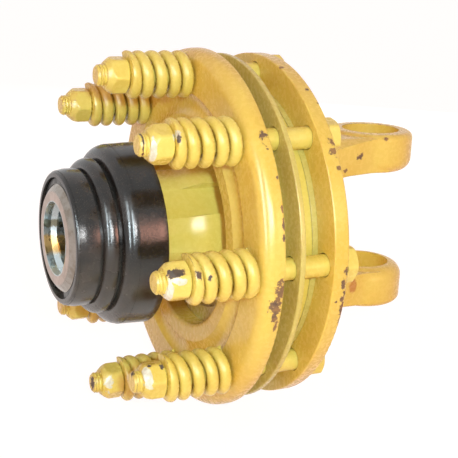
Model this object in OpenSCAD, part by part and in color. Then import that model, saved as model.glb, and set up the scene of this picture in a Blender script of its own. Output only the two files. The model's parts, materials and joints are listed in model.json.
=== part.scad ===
/* [Flange yoke] */
// Diameter of the flange and of the intermediate plate
flange_d = 200; // [190:1:220]
// Thickness of the flange
flange_t = 9; // [8:0.5:12]
// Distance from the flange's friction face to the axis of the cross bores
ear_reach = 82; // [78:1:95]
// Diameter of the bore for a cross bearing cup
ear_bore_d = 35; // [30:0.5:38]
// Wall of the ear round that bore
ear_wall = 8.5; // [7:0.5:11]
// Distance between the outer faces of the ears
ear_span = 108; // [104:1:118]
// Distance between the inner faces of the ears
ear_gap = 60; // [54:1:66]
// Thickness of the web between the flange and the throat of the fork
web_t = 11; // [9:0.5:14]

/* [Clamping bolts] */
// Number of bolts, each with its nut and spring
bolt_count = 8; // [8]
// Distance from the bolts' centres to the edge of the flange
bolt_edge = 11; // [10:0.5:13]
// Diameter of the bolts
bolt_d = 12; // [10:0.5:12.5]
// Clearance of a bolt in its holes, on the diameter
bolt_play = 1; // [0.6:0.1:1.5]
// Size across the flats of nuts and bolt heads
hex_af = 18.5; // [17:0.5:20]
// Height of a nut
nut_h = 12.5; // [10:0.5:14]
// Height of a bolt head
head_h = 7.5; // [6:0.5:9]
// Length of thread that stands out of a nut
thread_out = 4.7; // [2:0.1:8]

/* [Clamping springs] */
// Outside diameter of a spring
spring_d = 27; // [26.5:0.5:29]
// Diameter of the spring wire
spring_wire = 6.5; // [5.5:0.1:6.6]
// Length of a spring as it is clamped
spring_len = 37; // [34:0.5:42]
// Open turns between the two closed end turns
spring_turns = 3; // [2:0.5:3]

/* [Friction stack] */
// Clearance between the linings and the bolts
lining_gap = 0.5; // [0.3:0.1:4]
// Inside diameter of the linings
lining_id = 94; // [90:1:100]
// Thickness of one lining
lining_t = 3.2; // [2.5:0.1:4]
// How far the driver disc and the hub's drive flange stand back from the edge of the linings
drive_setback = 0.5; // [0:0.5:3]
// Thickness of the driver disc
driver_t = 4; // [3:0.5:6]
// Thickness of the intermediate plate
middle_t = 3; // [2.5:0.5:5]
// Thickness of the hub's drive flange
drive_flange_t = 10.6; // [8:0.1:13]

/* [Pressure plate] */
// How far the pressure plate stands out over the flange
plate_over = 3; // [0:0.5:6]
// Thickness of the pressure plate at the spring seats
plate_t = 11.4; // [10:0.1:14]
// Diameter of the hole round the hub
plate_hole_d = 112; // [108:1:116]
// Radius of the rounded front edge of the rim
plate_rim_round = 8; // [5:0.5:9]
// Distance from the bolts' centres in to the middle of the dished band
dish_inset = 16.5; // [15:0.5:18]
// Width of the dished band
dish_w = 13; // [10:0.5:14]
// Depth of the dished band
dish_depth = 2.2; // [1:0.1:3]

/* [Hub] */
// Distance from the flange's friction face to the hub's end face
hub_reach = 118.5; // [116:0.5:130]
// Diameter of the nose that the lock collar slides on
nose_d = 60; // [58:0.5:61]
// Length of the nose, up to the shoulder of the barrel
nose_len = 44.5; // [44:0.5:50]
// Diameter of the barrel behind the nose
barrel_d = 70; // [69:0.5:72]
// Diameter over the drive lugs
lug_d = 78; // [76:0.5:84]
// Number of drive lugs
lug_count = 6; // [6]
// Share of the pitch that a flat between two lugs takes
flat_share = 0.47; // [0.4:0.01:0.55]
// Distance from the axis to the flats between the lugs
flat_r = 33.8; // [33:0.1:34.4]
// Distance from the flange's friction face to the full height of the lugs
lug_reach = 42.5; // [40:0.5:50]
// Length of the slope up to the lugs
lug_ramp = 11; // [6:0.5:16]
// Angle of the lugs against the yoke
lug_turn = 20; // [0:1:59]
// Clearance of the driver disc on the lugs
lug_play = 0.3; // [0.2:0.05:0.5]
// Major diameter of the spline bore
spline_major = 35; // [34.9:0.1:35.4]
// Minor diameter of the spline bore
spline_minor = 29.7; // [29.5:0.1:30.5]
// Width of a spline groove
spline_w = 8.7; // [8.5:0.1:9]
// Number of spline grooves
spline_count = 6; // [6]
// Diameter of the smooth lead-in of the bore
lead_in_d = 40.4; // [38:0.2:44]
// Length of the smooth lead-in, up to its chamfer
lead_in_len = 4; // [2:0.5:6]

/* [Bush] */
// Diameter of the hub's spigot
spigot_d = 64; // [60:1:68]
// Wall of the bush
bush_wall = 4; // [3:0.5:5]
// Length of the bush
bush_len = 5.5; // [4:0.5:6.5]
// Running clearance of the spigot in the bush, on the radius
bush_play = 0.06; // [0.03:0.01:0.1]

/* [Lock collar] */
// How far the collar slides back to unlock
collar_travel = 8; // [6:0.5:8.5]
// How far the hub's end face stands out of the collar
collar_setback = 1.5; // [0.5:0.5:2.5]
// Length of the collar
collar_len = 45.7; // [45:0.1:47]
// Diameter of the collar's mouth
mouth_d = 67; // [66.5:0.1:68]
// Depth of the collar's mouth, in front of the snap ring
mouth_depth = 3.5; // [3:0.1:4]
// Diameter of the front barrel
collar_front_d = 76; // [75:0.5:78]
// Diameter of the middle ring
collar_ring_d = 86.4; // [84:0.5:88]
// Diameter of the rear barrel
collar_rear_d = 102; // [98:0.5:106]
// Thickness of the skirt at the rear
skirt_wall = 5.5; // [4:0.5:7]
// Clearance of the collar on the nose, on the radius
collar_play = 0.25; // [0.2:0.05:0.3]
// Diameter of a locking ball
ball_d = 15; // [14:0.5:15.5]
// Number of locking balls
ball_count = 3; // [3]
// Distance from the hub's end face to the locking balls
ball_x = 21; // [20.5:0.5:22]
// Radial travel of a ball when the collar unlocks it
ball_lift = 2.5; // [2:0.1:2.6]
// Clearance round a ball
ball_play = 0.15; // [0.1:0.05:0.2]
// Wire of the collar's return spring
return_wire = 1.8; // [1.5:0.1:1.9]

/* [Hidden] */
$fn = 96;

paint = [0.90, 0.74, 0.24];
friction = [0.30, 0.24, 0.20];
steel = [0.70, 0.69, 0.67];
black = [0.16, 0.15, 0.15];
bronze = [0.66, 0.48, 0.22];

// Cutters reach this far past what they cut
past = 1;

// Stations along the axis, from the axis of the cross bores towards the hub's end
flange_x0 = -ear_reach;
flange_x1 = flange_x0 + flange_t;
drive_x1 = flange_x0 - lining_t;
drive_x0 = drive_x1 - drive_flange_t;
middle_x1 = drive_x0 - lining_t;
middle_x0 = middle_x1 - middle_t;
driver_x1 = middle_x0 - lining_t;
driver_x0 = driver_x1 - driver_t;
plate_x1 = driver_x0 - lining_t;
seat_x = plate_x1 - plate_t;
nut_x1 = seat_x - spring_len;
nut_x0 = nut_x1 - nut_h;
tip_x = nut_x0 - thread_out;
nose_x = flange_x0 - hub_reach;
shoulder_x = nose_x + nose_len;
lug_x = flange_x0 - lug_reach;
spigot_x = flange_x0 + bush_len;

bolt_r = flange_d / 2 - bolt_edge;
bolt_step = 360 / bolt_count;
hole_d = bolt_d + bolt_play;
// Radius of a nut's or head's end face against half its width across the flats
hex_face = 0.87;
// Turn of each nut, as it was tightened
nut_turns = [35, 12, 33, 5, 45, 20, 50, 19];
// Direction in which every spring's wire ends, from the top
coil_start = -30;
// Gap between the wires of a closed end turn
closed_gap = 0.1;

// Friction stack and pressure plate
lining_r = bolt_r - bolt_d / 2 - lining_gap;
drive_r = lining_r - drive_setback;
plate_r = flange_d / 2 + plate_over;
plate_hole_r = plate_hole_d / 2;
dish_r = bolt_r - dish_inset;
middle_clear = 3;
middle_hole_r = lug_d / 2 + middle_clear;

// Yoke
ear_r = ear_bore_d / 2 + ear_wall;
ear_out = ear_span / 2;
ear_in = ear_gap / 2;
ear_round_out = 4;
ear_round_in = 8;
arm_inset = 1.5;
arm_out = ear_out - arm_inset;
arm_in = ear_in + arm_inset;
arm_narrow = 2;
arm_half_w = ear_r - arm_narrow;
arm_spread = 12;
arm_root_w = ear_r + arm_spread;
throat_x = flange_x1 + web_t;
arm_bulge = 3;
arm_envelope = ear_out + arm_bulge;
root_fillet = 8;
bush_r = spigot_d / 2 + bush_play;
recess_room = 0.5;
recess_depth = bush_len + recess_room;
recess_r = bush_r + bush_wall;

// Hub
nose_r = nose_d / 2;
lug_step = 360 / lug_count;
flat_half = lug_step * flat_share / 2;
groove_step = 360 / spline_count;

// Snap ring in front of the collar's land
ring_t = 2;
ring_play = 0.05;
ring_x1 = nose_x + collar_setback + mouth_depth;
ring_x0 = ring_x1 - ring_t;
ring_bite = 1.6;
ring_groove_r = nose_r - ring_bite;
ring_clear = 0.6;
ring_r = mouth_d / 2 - ring_clear;

// Lock collar
collar_x0 = nose_x + collar_setback;
collar_x1 = collar_x0 + collar_len;
land_r = nose_r + collar_play;
ball_r = ball_d / 2;
ball_station = nose_x + ball_x;
ball_proud = 0.1;
ball_locked_r = nose_r + ball_proud - ball_r;
cam_slope = ball_lift / collar_travel;
cam_r = ball_locked_r + (ball_r + ball_play) / cos(atan(cam_slope));
cam_land_x = ball_station + (cam_r - land_r) / cam_slope;
recess_land_x = ball_station - collar_travel;
cam_recess_r = cam_r + cam_slope * collar_travel;
guide_land = 2.5;
rear_land = 6;
return_seat_x = cam_land_x + rear_land;
return_len = shoulder_x - return_seat_x;
return_off = 2.2;
return_r = nose_r + return_off;
return_depth = 4.5;
return_room = nose_r + return_depth;
skirt_clear = 1;
skirt_x = shoulder_x - collar_travel - skirt_clear;
skirt_slope = 3;
skirt_r = collar_rear_d / 2 - skirt_wall;

// Turns a profile of radius against station about the shaft axis
module spin() {
    rotate([0, 90, 0]) rotate_extrude() children();
}

// Carries a flat outline along the shaft axis from one station to another
module along(x0, x1) {
    translate([x0, 0, 0]) rotate([0, 90, 0]) linear_extrude(x1 - x0) children();
}

// Places a copy at every bolt
module at_bolts() {
    for (k = [0 : bolt_count - 1]) at_bolt(k) children();
}

// Places a child on bolt k, counted from the top towards the near side
module at_bolt(k) {
    rotate([k * bolt_step, 0, 0]) translate([0, 0, bolt_r]) children();
}

// Ring profile between two radii and two stations
module band(r0, r1, x0, x1) {
    translate([r0, x0]) square([r1 - r0, x1 - x0]);
}

// Waste outside a rounded outer corner at the low end of a band
module low_corner(r1, x0, f) {
    difference() {
        translate([r1 - f, x0 - past]) square([f + past, f + past]);
        translate([r1 - f, x0 + f]) circle(f);
    }
}

// Waste outside a rounded outer corner at the high end of a band
module high_corner(r1, x1, f) {
    difference() {
        translate([r1 - f, x1 - f]) square([f + past, f + past]);
        translate([r1 - f, x1 - f]) circle(f);
    }
}

// Band with both outer corners rounded
module soft_band(r0, r1, x0, x1, low, high) {
    difference() {
        band(r0, r1, x0, x1);
        low_corner(r1, x0, low);
        high_corner(r1, x1, high);
    }
}

// Holes for the bolts through a plate
module bolt_holes(x0, x1) {
    at_bolts() along(x0 - past, x1 + past) circle(d = hole_d);
}

// Hexagon with the corners turned off at the low end, and at the high end too if asked
module hexagon(x0, h, both) {
    corner_r = hex_af / 2 / cos(30);
    face_r = hex_af / 2 * hex_face;
    rise = (corner_r - face_r) * tan(30);
    intersection() {
        along(x0, x0 + h) circle(corner_r, $fn = 6);
        spin() polygon([
            [0, x0], [face_r, x0], [corner_r, x0 + rise], [corner_r, x0 + h - (both ? rise : 0)],
            [both ? face_r : corner_r, x0 + h], [0, x0 + h]
        ]);
    }
}

// Height of a coil's centre line after some turns, with one closed turn at each end
function coil_height(turn, length, pitch, open_turns) =
    turn < 1 ? turn * pitch
    : turn > open_turns + 1 ? length - (open_turns + 2 - turn) * pitch
    : pitch + (turn - 1) * (length - 2 * pitch) / open_turns;

// Point on the wire of a coil, at a place round the wire, with the ends ground flat
function coil_point(mean_r, wire, length, height, turn, side) =
    let (r = mean_r + wire / 2 * cos(side), z = height + wire / 2 * sin(side))
    [r * cos(360 * turn), r * sin(360 * turn), max(0, min(length, z))];

// Neighbouring points of a ring that make triangles with one of its own points
function fan_pairs(sides, apex) =
    [for (j = [0 : sides - 1]) let (next = (j + 1) % sides) if (j != apex && next != apex) [j, next]];

// Wire of a compression spring along Z, swept ring by ring, with a closed turn at each end
module coil(mean_r, wire, length, pitch, open_turns, sides, steps) {
    turns = open_turns + 2;
    rings = ceil(turns * steps);
    top = floor(sides / 4);
    bottom = floor(sides * 3 / 4);
    end = [1, 1, 1] * rings * sides;
    points = [
        for (k = [0 : rings], j = [0 : sides - 1])
            let (turn = turns * k / rings, height = coil_height(turn, length, pitch, open_turns))
            coil_point(mean_r, wire, length, height, turn, 360 * (j + 0.5) / sides)
    ];
    walls = [
        for (k = [0 : rings - 1], j = [0 : sides - 1], half = [0, 1])
            let (a = k * sides + j, b = k * sides + (j + 1) % sides)
            half == 0 ? [a, b, b + sides] : [a, b + sides, a + sides]
    ];
    low_cap = [for (pair = fan_pairs(sides, top)) [top, pair[1], pair[0]]];
    high_cap = [for (pair = fan_pairs(sides, bottom)) [bottom, pair[0], pair[1]] + end];
    polyhedron(points, concat(low_cap, walls, high_cap));
}

// Outline over the drive lugs, grown by a gap for the hole that fits them
module lug_outline(gap) {
    difference() {
        circle(lug_d / 2 + gap);
        for (k = [0 : lug_count - 1])
            rotate(lug_turn + (k + 0.5) * lug_step) flat_waste(lug_d, gap);
    }
}

// Waste outside one flat between two lugs, with radial sides
module flat_waste(reach, gap) {
    near = flat_r + gap;
    near_w = near * tan(flat_half) - gap;
    far_w = reach * tan(flat_half) - gap;
    polygon([[near, -near_w], [reach, -far_w], [reach, far_w], [near, near_w]]);
}

// Outline of the spline bore
module spline_outline() {
    circle(d = spline_minor);
    intersection() {
        circle(d = spline_major);
        for (k = [0 : spline_count / 2 - 1])
            rotate(lug_turn + k * groove_step) square([spline_major + past, spline_w], center = true);
    }
}

// Places a child in the groove of locking ball k, at a distance from the axis
module at_ball(k, r) {
    rotate([0, 90, 0]) rotate(lug_turn + k * 360 / ball_count) translate([r, 0, ball_station]) children();
}

// Hub: nose, lugged barrel, drive flange and spigot in one forging
module splined_hub() {
    color(paint) difference() {
        spin() hub_profile();
        for (k = [0 : lug_count - 1])
            along(shoulder_x - past, drive_x0)
                rotate(lug_turn + (k + 0.5) * lug_step) flat_waste(lug_d, 0);
        along(nose_x - past, spigot_x + past) spline_outline();
        spin() lead_in();
        for (k = [0 : ball_count - 1]) ball_pocket(k);
    }
}

module hub_profile() {
    chamfer = 1.2;
    polygon([
        [0, nose_x], [nose_r - chamfer, nose_x], [nose_r, nose_x + chamfer],
        [nose_r, ring_x0 - ring_play], [ring_groove_r, ring_x0 - ring_play],
        [ring_groove_r, ring_x1 + ring_play], [nose_r, ring_x1 + ring_play],
        [nose_r, shoulder_x], [barrel_d / 2 - chamfer, shoulder_x], [barrel_d / 2, shoulder_x + chamfer],
        [barrel_d / 2, lug_x - lug_ramp], [lug_d / 2, lug_x],
        [lug_d / 2, drive_x0], [drive_r, drive_x0], [drive_r, drive_x1],
        [spigot_d / 2, drive_x1], [spigot_d / 2, spigot_x], [0, spigot_x]
    ]);
}

// Lead-in at the nose and chamfer at the spigot's end of the spline bore
module lead_in() {
    lead = (lead_in_d - spline_major) / 2;
    chamfer_x = nose_x + lead_in_len;
    polygon([
        [0, nose_x - past], [lead_in_d / 2, nose_x - past], [lead_in_d / 2, chamfer_x],
        [spline_major / 2, chamfer_x + lead], [0, chamfer_x + lead]
    ]);
    polygon([
        [0, spigot_x - lead / 2], [spline_major / 2 - lead / 2, spigot_x - lead / 2],
        [spline_major / 2, spigot_x], [0, spigot_x]
    ]);
}

// Radial hole with a round seat, so that the ball can't fall into the bore
module ball_pocket(k) {
    at_ball(k, ball_locked_r) {
        sphere(ball_r + ball_play);
        rotate([0, 90, 0]) cylinder(h = nose_r, r = ball_r + ball_play);
    }
}

module driver_disc() {
    color(steel) along(driver_x0, driver_x1) difference() {
        circle(drive_r);
        lug_outline(lug_play);
    }
}

module lining(x0) {
    color(friction) spin() band(lining_id / 2, lining_r, x0, x0 + lining_t);
}

module lining_1() { lining(plate_x1); }
module lining_2() { lining(driver_x1); }
module lining_3() { lining(middle_x1); }
module lining_4() { lining(drive_x1); }

module intermediate_plate() {
    edge = 0.6;
    color(paint) difference() {
        spin() soft_band(middle_hole_r, flange_d / 2, middle_x0, middle_x1, edge, edge);
        bolt_holes(middle_x0, middle_x1);
    }
}

// Dished casting that the springs bear on
module pressure_plate() {
    lip_round = 2;
    rim_edge = 0.8;
    dish_round = (pow(dish_w / 2, 2) + pow(dish_depth, 2)) / (2 * dish_depth);
    color(paint) difference() {
        spin() difference() {
            soft_band(plate_hole_r, plate_r, seat_x, plate_x1, plate_rim_round, rim_edge);
            translate([dish_r, seat_x + dish_depth - dish_round]) circle(dish_round);
            difference() {
                band(plate_hole_r - past, plate_hole_r + lip_round, seat_x - past, seat_x + lip_round);
                translate([plate_hole_r + lip_round, seat_x + lip_round]) circle(lip_round);
            }
        }
        bolt_holes(seat_x, plate_x1);
    }
}

// Flange, fork and ears in one forging
module flange_yoke() {
    front_edge = 0.8;
    rear_edge = 1.5;
    color(paint) difference() {
        union() {
            spin() soft_band(0, flange_d / 2, flange_x0, flange_x1, front_edge, rear_edge);
            fork();
            ear();
            mirror([0, 0, 1]) ear();
        }
        cylinder(h = ear_span + 2 * past, d = ear_bore_d, center = true);
        bolt_holes(flange_x0, flange_x1);
        spin() band(0, recess_r, flange_x0 - past, flange_x0 + recess_depth);
    }
}

// The two arms and the throat between them
module fork() {
    intersection() {
        rotate([90, 0, 0]) linear_extrude(4 * ear_r, center = true) fork_side();
        linear_extrude(2 * ear_span, center = true) fork_plan();
        spin() fork_envelope();
    }
}

// Side view of the fork, station against height
module fork_side() {
    root_x = flange_x1 - past;
    throat_r = arm_in;
    difference() {
        union() {
            translate([root_x, -arm_out]) square([-root_x, 2 * arm_out]);
            for (side = [0, 1]) mirror([0, side]) difference() {
                translate([root_x, 0]) square([root_fillet + past, arm_out + root_fillet]);
                translate([flange_x1 + root_fillet, arm_out + root_fillet]) circle(root_fillet);
            }
        }
        translate([throat_x + throat_r, 0]) circle(throat_r);
        translate([throat_x + throat_r, -throat_r]) square([ear_reach, 2 * throat_r]);
    }
}

// Top view of the fork, station against width
module fork_plan() {
    root_x = flange_x1 - past;
    neck_x = -ear_r / 2;
    polygon([
        [root_x, -arm_root_w], [neck_x, -arm_half_w], [0, -arm_half_w],
        [0, arm_half_w], [neck_x, arm_half_w], [root_x, arm_root_w]
    ]);
}

// The turned outside of the arms
module fork_envelope() {
    root_r = arm_envelope + root_fillet;
    difference() {
        band(0, root_r, flange_x1 - past, 0);
        band(arm_envelope, root_r + past, flange_x1 + root_fillet, past);
        translate([root_r, flange_x1 + root_fillet]) circle(root_fillet);
    }
}

// Ring of one ear, well rounded on the side that faces the throat
module ear() {
    rotate_extrude() soft_band(0, ear_r, ear_in, ear_out, ear_round_in, ear_round_out);
}

module hub_bush() {
    slack = 0.02;
    color(bronze) spin() band(bush_r, recess_r - slack, flange_x0, spigot_x);
}

// Sliding collar: front barrel, ring and rear barrel outside, ball track and spring room inside
module lock_collar() {
    color(black) spin() difference() {
        collar_outside();
        collar_inside();
    }
}

module collar_outside() {
    front_r = collar_front_d / 2;
    ring_out_r = collar_ring_d / 2;
    rear_r = collar_rear_d / 2;
    rear_taper = 0.8;
    front_taper = 1.2;
    groove_w = 1.7;
    taper_len = 6;
    front_len = 12;
    ring_len = 7.3;
    front_groove = 1.6;
    ring_groove = 2.6;
    lip_round = 1.6;
    edge = 1;
    groove_1 = collar_x0 + front_len;
    ring_x = groove_1 + groove_w;
    groove_2 = ring_x + ring_len;
    rear_x = groove_2 + groove_w;
    ring_round = 5;
    shoulder = 7;
    difference() {
        polygon([
            [0, collar_x0], [front_r - front_taper, collar_x0], [front_r, collar_x0 + taper_len],
            [front_r, groove_1], [0, groove_1]
        ]);
        low_corner(front_r - front_taper, collar_x0, lip_round);
    }
    band(0, front_r - front_groove, groove_1 - past, ring_x + past);
    soft_band(0, ring_out_r, ring_x, groove_2, ring_round, edge);
    band(0, ring_out_r - ring_groove, groove_2 - past, rear_x + past);
    difference() {
        polygon([
            [0, rear_x], [rear_r - rear_taper, rear_x], [rear_r, collar_x1], [0, collar_x1]
        ]);
        low_corner(rear_r - rear_taper, rear_x, shoulder);
        high_corner(rear_r, collar_x1, edge);
    }
}

module collar_inside() {
    polygon([
        [0, collar_x0 - past], [mouth_d / 2, collar_x0 - past], [mouth_d / 2, ring_x1], [land_r, ring_x1],
        [land_r, ring_x1 + guide_land], [cam_recess_r, ring_x1 + guide_land], [cam_recess_r, recess_land_x],
        [land_r, cam_land_x], [land_r, return_seat_x], [return_room, return_seat_x],
        [return_room, skirt_x - skirt_slope], [skirt_r, skirt_x],
        [skirt_r, collar_x1 + past], [0, collar_x1 + past]
    ]);
}

// Return spring between the collar and the shoulder of the hub
module collar_spring() {
    open_turns = 2;
    sides = 6;
    steps = 24;
    color(steel) translate([return_seat_x, 0, 0]) rotate([0, 90, 0])
        coil(return_r, return_wire, return_len, return_wire + closed_gap, open_turns, sides, steps);
}

// Open ring in the groove of the hub's nose
module snap_ring() {
    opening = 30;
    color(steel) rotate([0, 90, 0]) rotate([0, 0, opening / 2]) rotate_extrude(angle = 360 - opening)
        band(ring_groove_r + ring_play, ring_r, ring_x0, ring_x1);
}

module locking_ball(k) {
    color(steel) at_ball(k, ball_locked_r) sphere(ball_r);
}

module locking_ball_1() { locking_ball(0); }
module locking_ball_2() { locking_ball(1); }
module locking_ball_3() { locking_ball(2); }

// Spring k stands on the pressure plate and bears on its nut
module spring(k) {
    mean_r = (spring_d - spring_wire) / 2;
    sides = 10;
    steps = 14;
    color(paint) at_bolt(k) rotate([coil_start - k * bolt_step, 0, 0])
        translate([seat_x, 0, 0]) rotate([0, -90, 0])
        coil(mean_r, spring_wire, spring_len, spring_wire + closed_gap, spring_turns, sides, steps);
}

module spring_1() { spring(0); }
module spring_2() { spring(1); }
module spring_3() { spring(2); }
module spring_4() { spring(3); }
module spring_5() { spring(4); }
module spring_6() { spring(5); }
module spring_7() { spring(6); }
module spring_8() { spring(7); }

// Through bolts with their heads behind the flange
module spring_bolts() {
    point = 1.2;
    color(paint) at_bolts() union() {
        mirror([1, 0, 0]) hexagon(-flange_x1 - head_h, head_h, false);
        spin() polygon([
            [0, tip_x], [bolt_d / 2 - point, tip_x], [bolt_d / 2, tip_x + point],
            [bolt_d / 2, flange_x1 + past], [0, flange_x1 + past]
        ]);
    }
}

module spring_nuts() {
    thread_slack = 0.1;
    color(paint) for (k = [0 : bolt_count - 1])
        at_bolt(k) rotate([nut_turns[k % len(nut_turns)], 0, 0]) difference() {
            hexagon(nut_x0, nut_h, true);
            along(nut_x0 - past, nut_x1 + past) circle(d = bolt_d + thread_slack);
        }
}

splined_hub();
driver_disc();
lining_1();
lining_2();
lining_3();
lining_4();
intermediate_plate();
pressure_plate();
flange_yoke();
hub_bush();
lock_collar();
collar_spring();
snap_ring();
locking_ball_1();
locking_ball_2();
locking_ball_3();
spring_1();
spring_2();
spring_3();
spring_4();
spring_5();
spring_6();
spring_7();
spring_8();
spring_bolts();
spring_nuts();
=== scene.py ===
"""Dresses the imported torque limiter: chipped yellow enamel, bare steel, black collar, coils and threads."""

import json
import logging
import math
from dataclasses import dataclass, field
from enum import Enum
from functools import partial
from typing import Any, Callable

import bmesh
import bpy
from mathutils import Matrix, Vector

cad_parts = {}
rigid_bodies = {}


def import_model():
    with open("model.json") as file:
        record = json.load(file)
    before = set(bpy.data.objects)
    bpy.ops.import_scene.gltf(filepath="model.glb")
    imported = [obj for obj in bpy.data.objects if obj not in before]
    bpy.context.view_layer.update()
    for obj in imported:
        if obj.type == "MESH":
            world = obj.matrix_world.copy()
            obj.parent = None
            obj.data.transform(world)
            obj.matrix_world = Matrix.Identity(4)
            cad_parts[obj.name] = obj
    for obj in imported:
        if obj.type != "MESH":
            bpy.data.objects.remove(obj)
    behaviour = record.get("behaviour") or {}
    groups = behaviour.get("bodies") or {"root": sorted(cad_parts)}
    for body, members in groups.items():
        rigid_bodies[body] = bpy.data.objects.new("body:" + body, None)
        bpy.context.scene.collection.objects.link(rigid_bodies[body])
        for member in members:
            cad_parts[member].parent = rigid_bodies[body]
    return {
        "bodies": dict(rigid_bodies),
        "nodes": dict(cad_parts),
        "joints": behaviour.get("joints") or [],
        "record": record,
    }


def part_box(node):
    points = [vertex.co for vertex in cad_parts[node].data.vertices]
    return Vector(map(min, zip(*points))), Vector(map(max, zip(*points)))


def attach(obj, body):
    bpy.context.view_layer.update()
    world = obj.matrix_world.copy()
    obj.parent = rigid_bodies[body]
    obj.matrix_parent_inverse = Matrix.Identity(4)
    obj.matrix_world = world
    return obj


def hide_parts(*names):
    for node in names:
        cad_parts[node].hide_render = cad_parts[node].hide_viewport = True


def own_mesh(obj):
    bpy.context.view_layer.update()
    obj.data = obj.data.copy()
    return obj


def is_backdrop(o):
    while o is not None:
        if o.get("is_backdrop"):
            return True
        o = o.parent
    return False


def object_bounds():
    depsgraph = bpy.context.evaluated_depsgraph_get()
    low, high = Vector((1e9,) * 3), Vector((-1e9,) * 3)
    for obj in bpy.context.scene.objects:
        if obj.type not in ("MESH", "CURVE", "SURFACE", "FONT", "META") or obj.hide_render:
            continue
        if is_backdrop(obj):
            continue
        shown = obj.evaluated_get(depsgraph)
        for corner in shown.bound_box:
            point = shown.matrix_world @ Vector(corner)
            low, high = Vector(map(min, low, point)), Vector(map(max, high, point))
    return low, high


LOG = logging.getLogger("torque_limiter")
MM = 0.001
SEAM = 0.002 * MM
SHARP_ANGLE = math.radians(38)
SPLIT_ANGLE = math.radians(28)
FLOOR_GAP = 0.5 * MM
BEVEL_RAYS = 6

FLOAT = "NodeSocketFloat"
VECTOR = "NodeSocketVector"
COLOUR = "NodeSocketColor"

Colour = tuple[float, float, float]
Pair = tuple[Colour, Colour]
Span = tuple[float, float]
Point = tuple[float, float, float]
Socket = bpy.types.NodeSocket
WHITE: Colour = (1.0, 1.0, 1.0)


class Body(str, Enum):
    """Rigid bodies that the scene's own pieces ride on."""

    HUB = "hub"
    YOKE = "yoke"


class Slot(str, Enum):
    """Material slots of the scene's own pieces."""

    PAINT = "yellow_paint"
    STEEL = "bare_steel"


class Effect(str, Enum):
    """Surface effects that several finishes share."""

    SKIN = "Enamel skin"
    CHIP = "Paint chip"
    EDGE = "Edge wear"
    RUST = "Rusty steel"
    TURNED = "Lathe marks"
    FLECKS = "Flecks"


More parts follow.
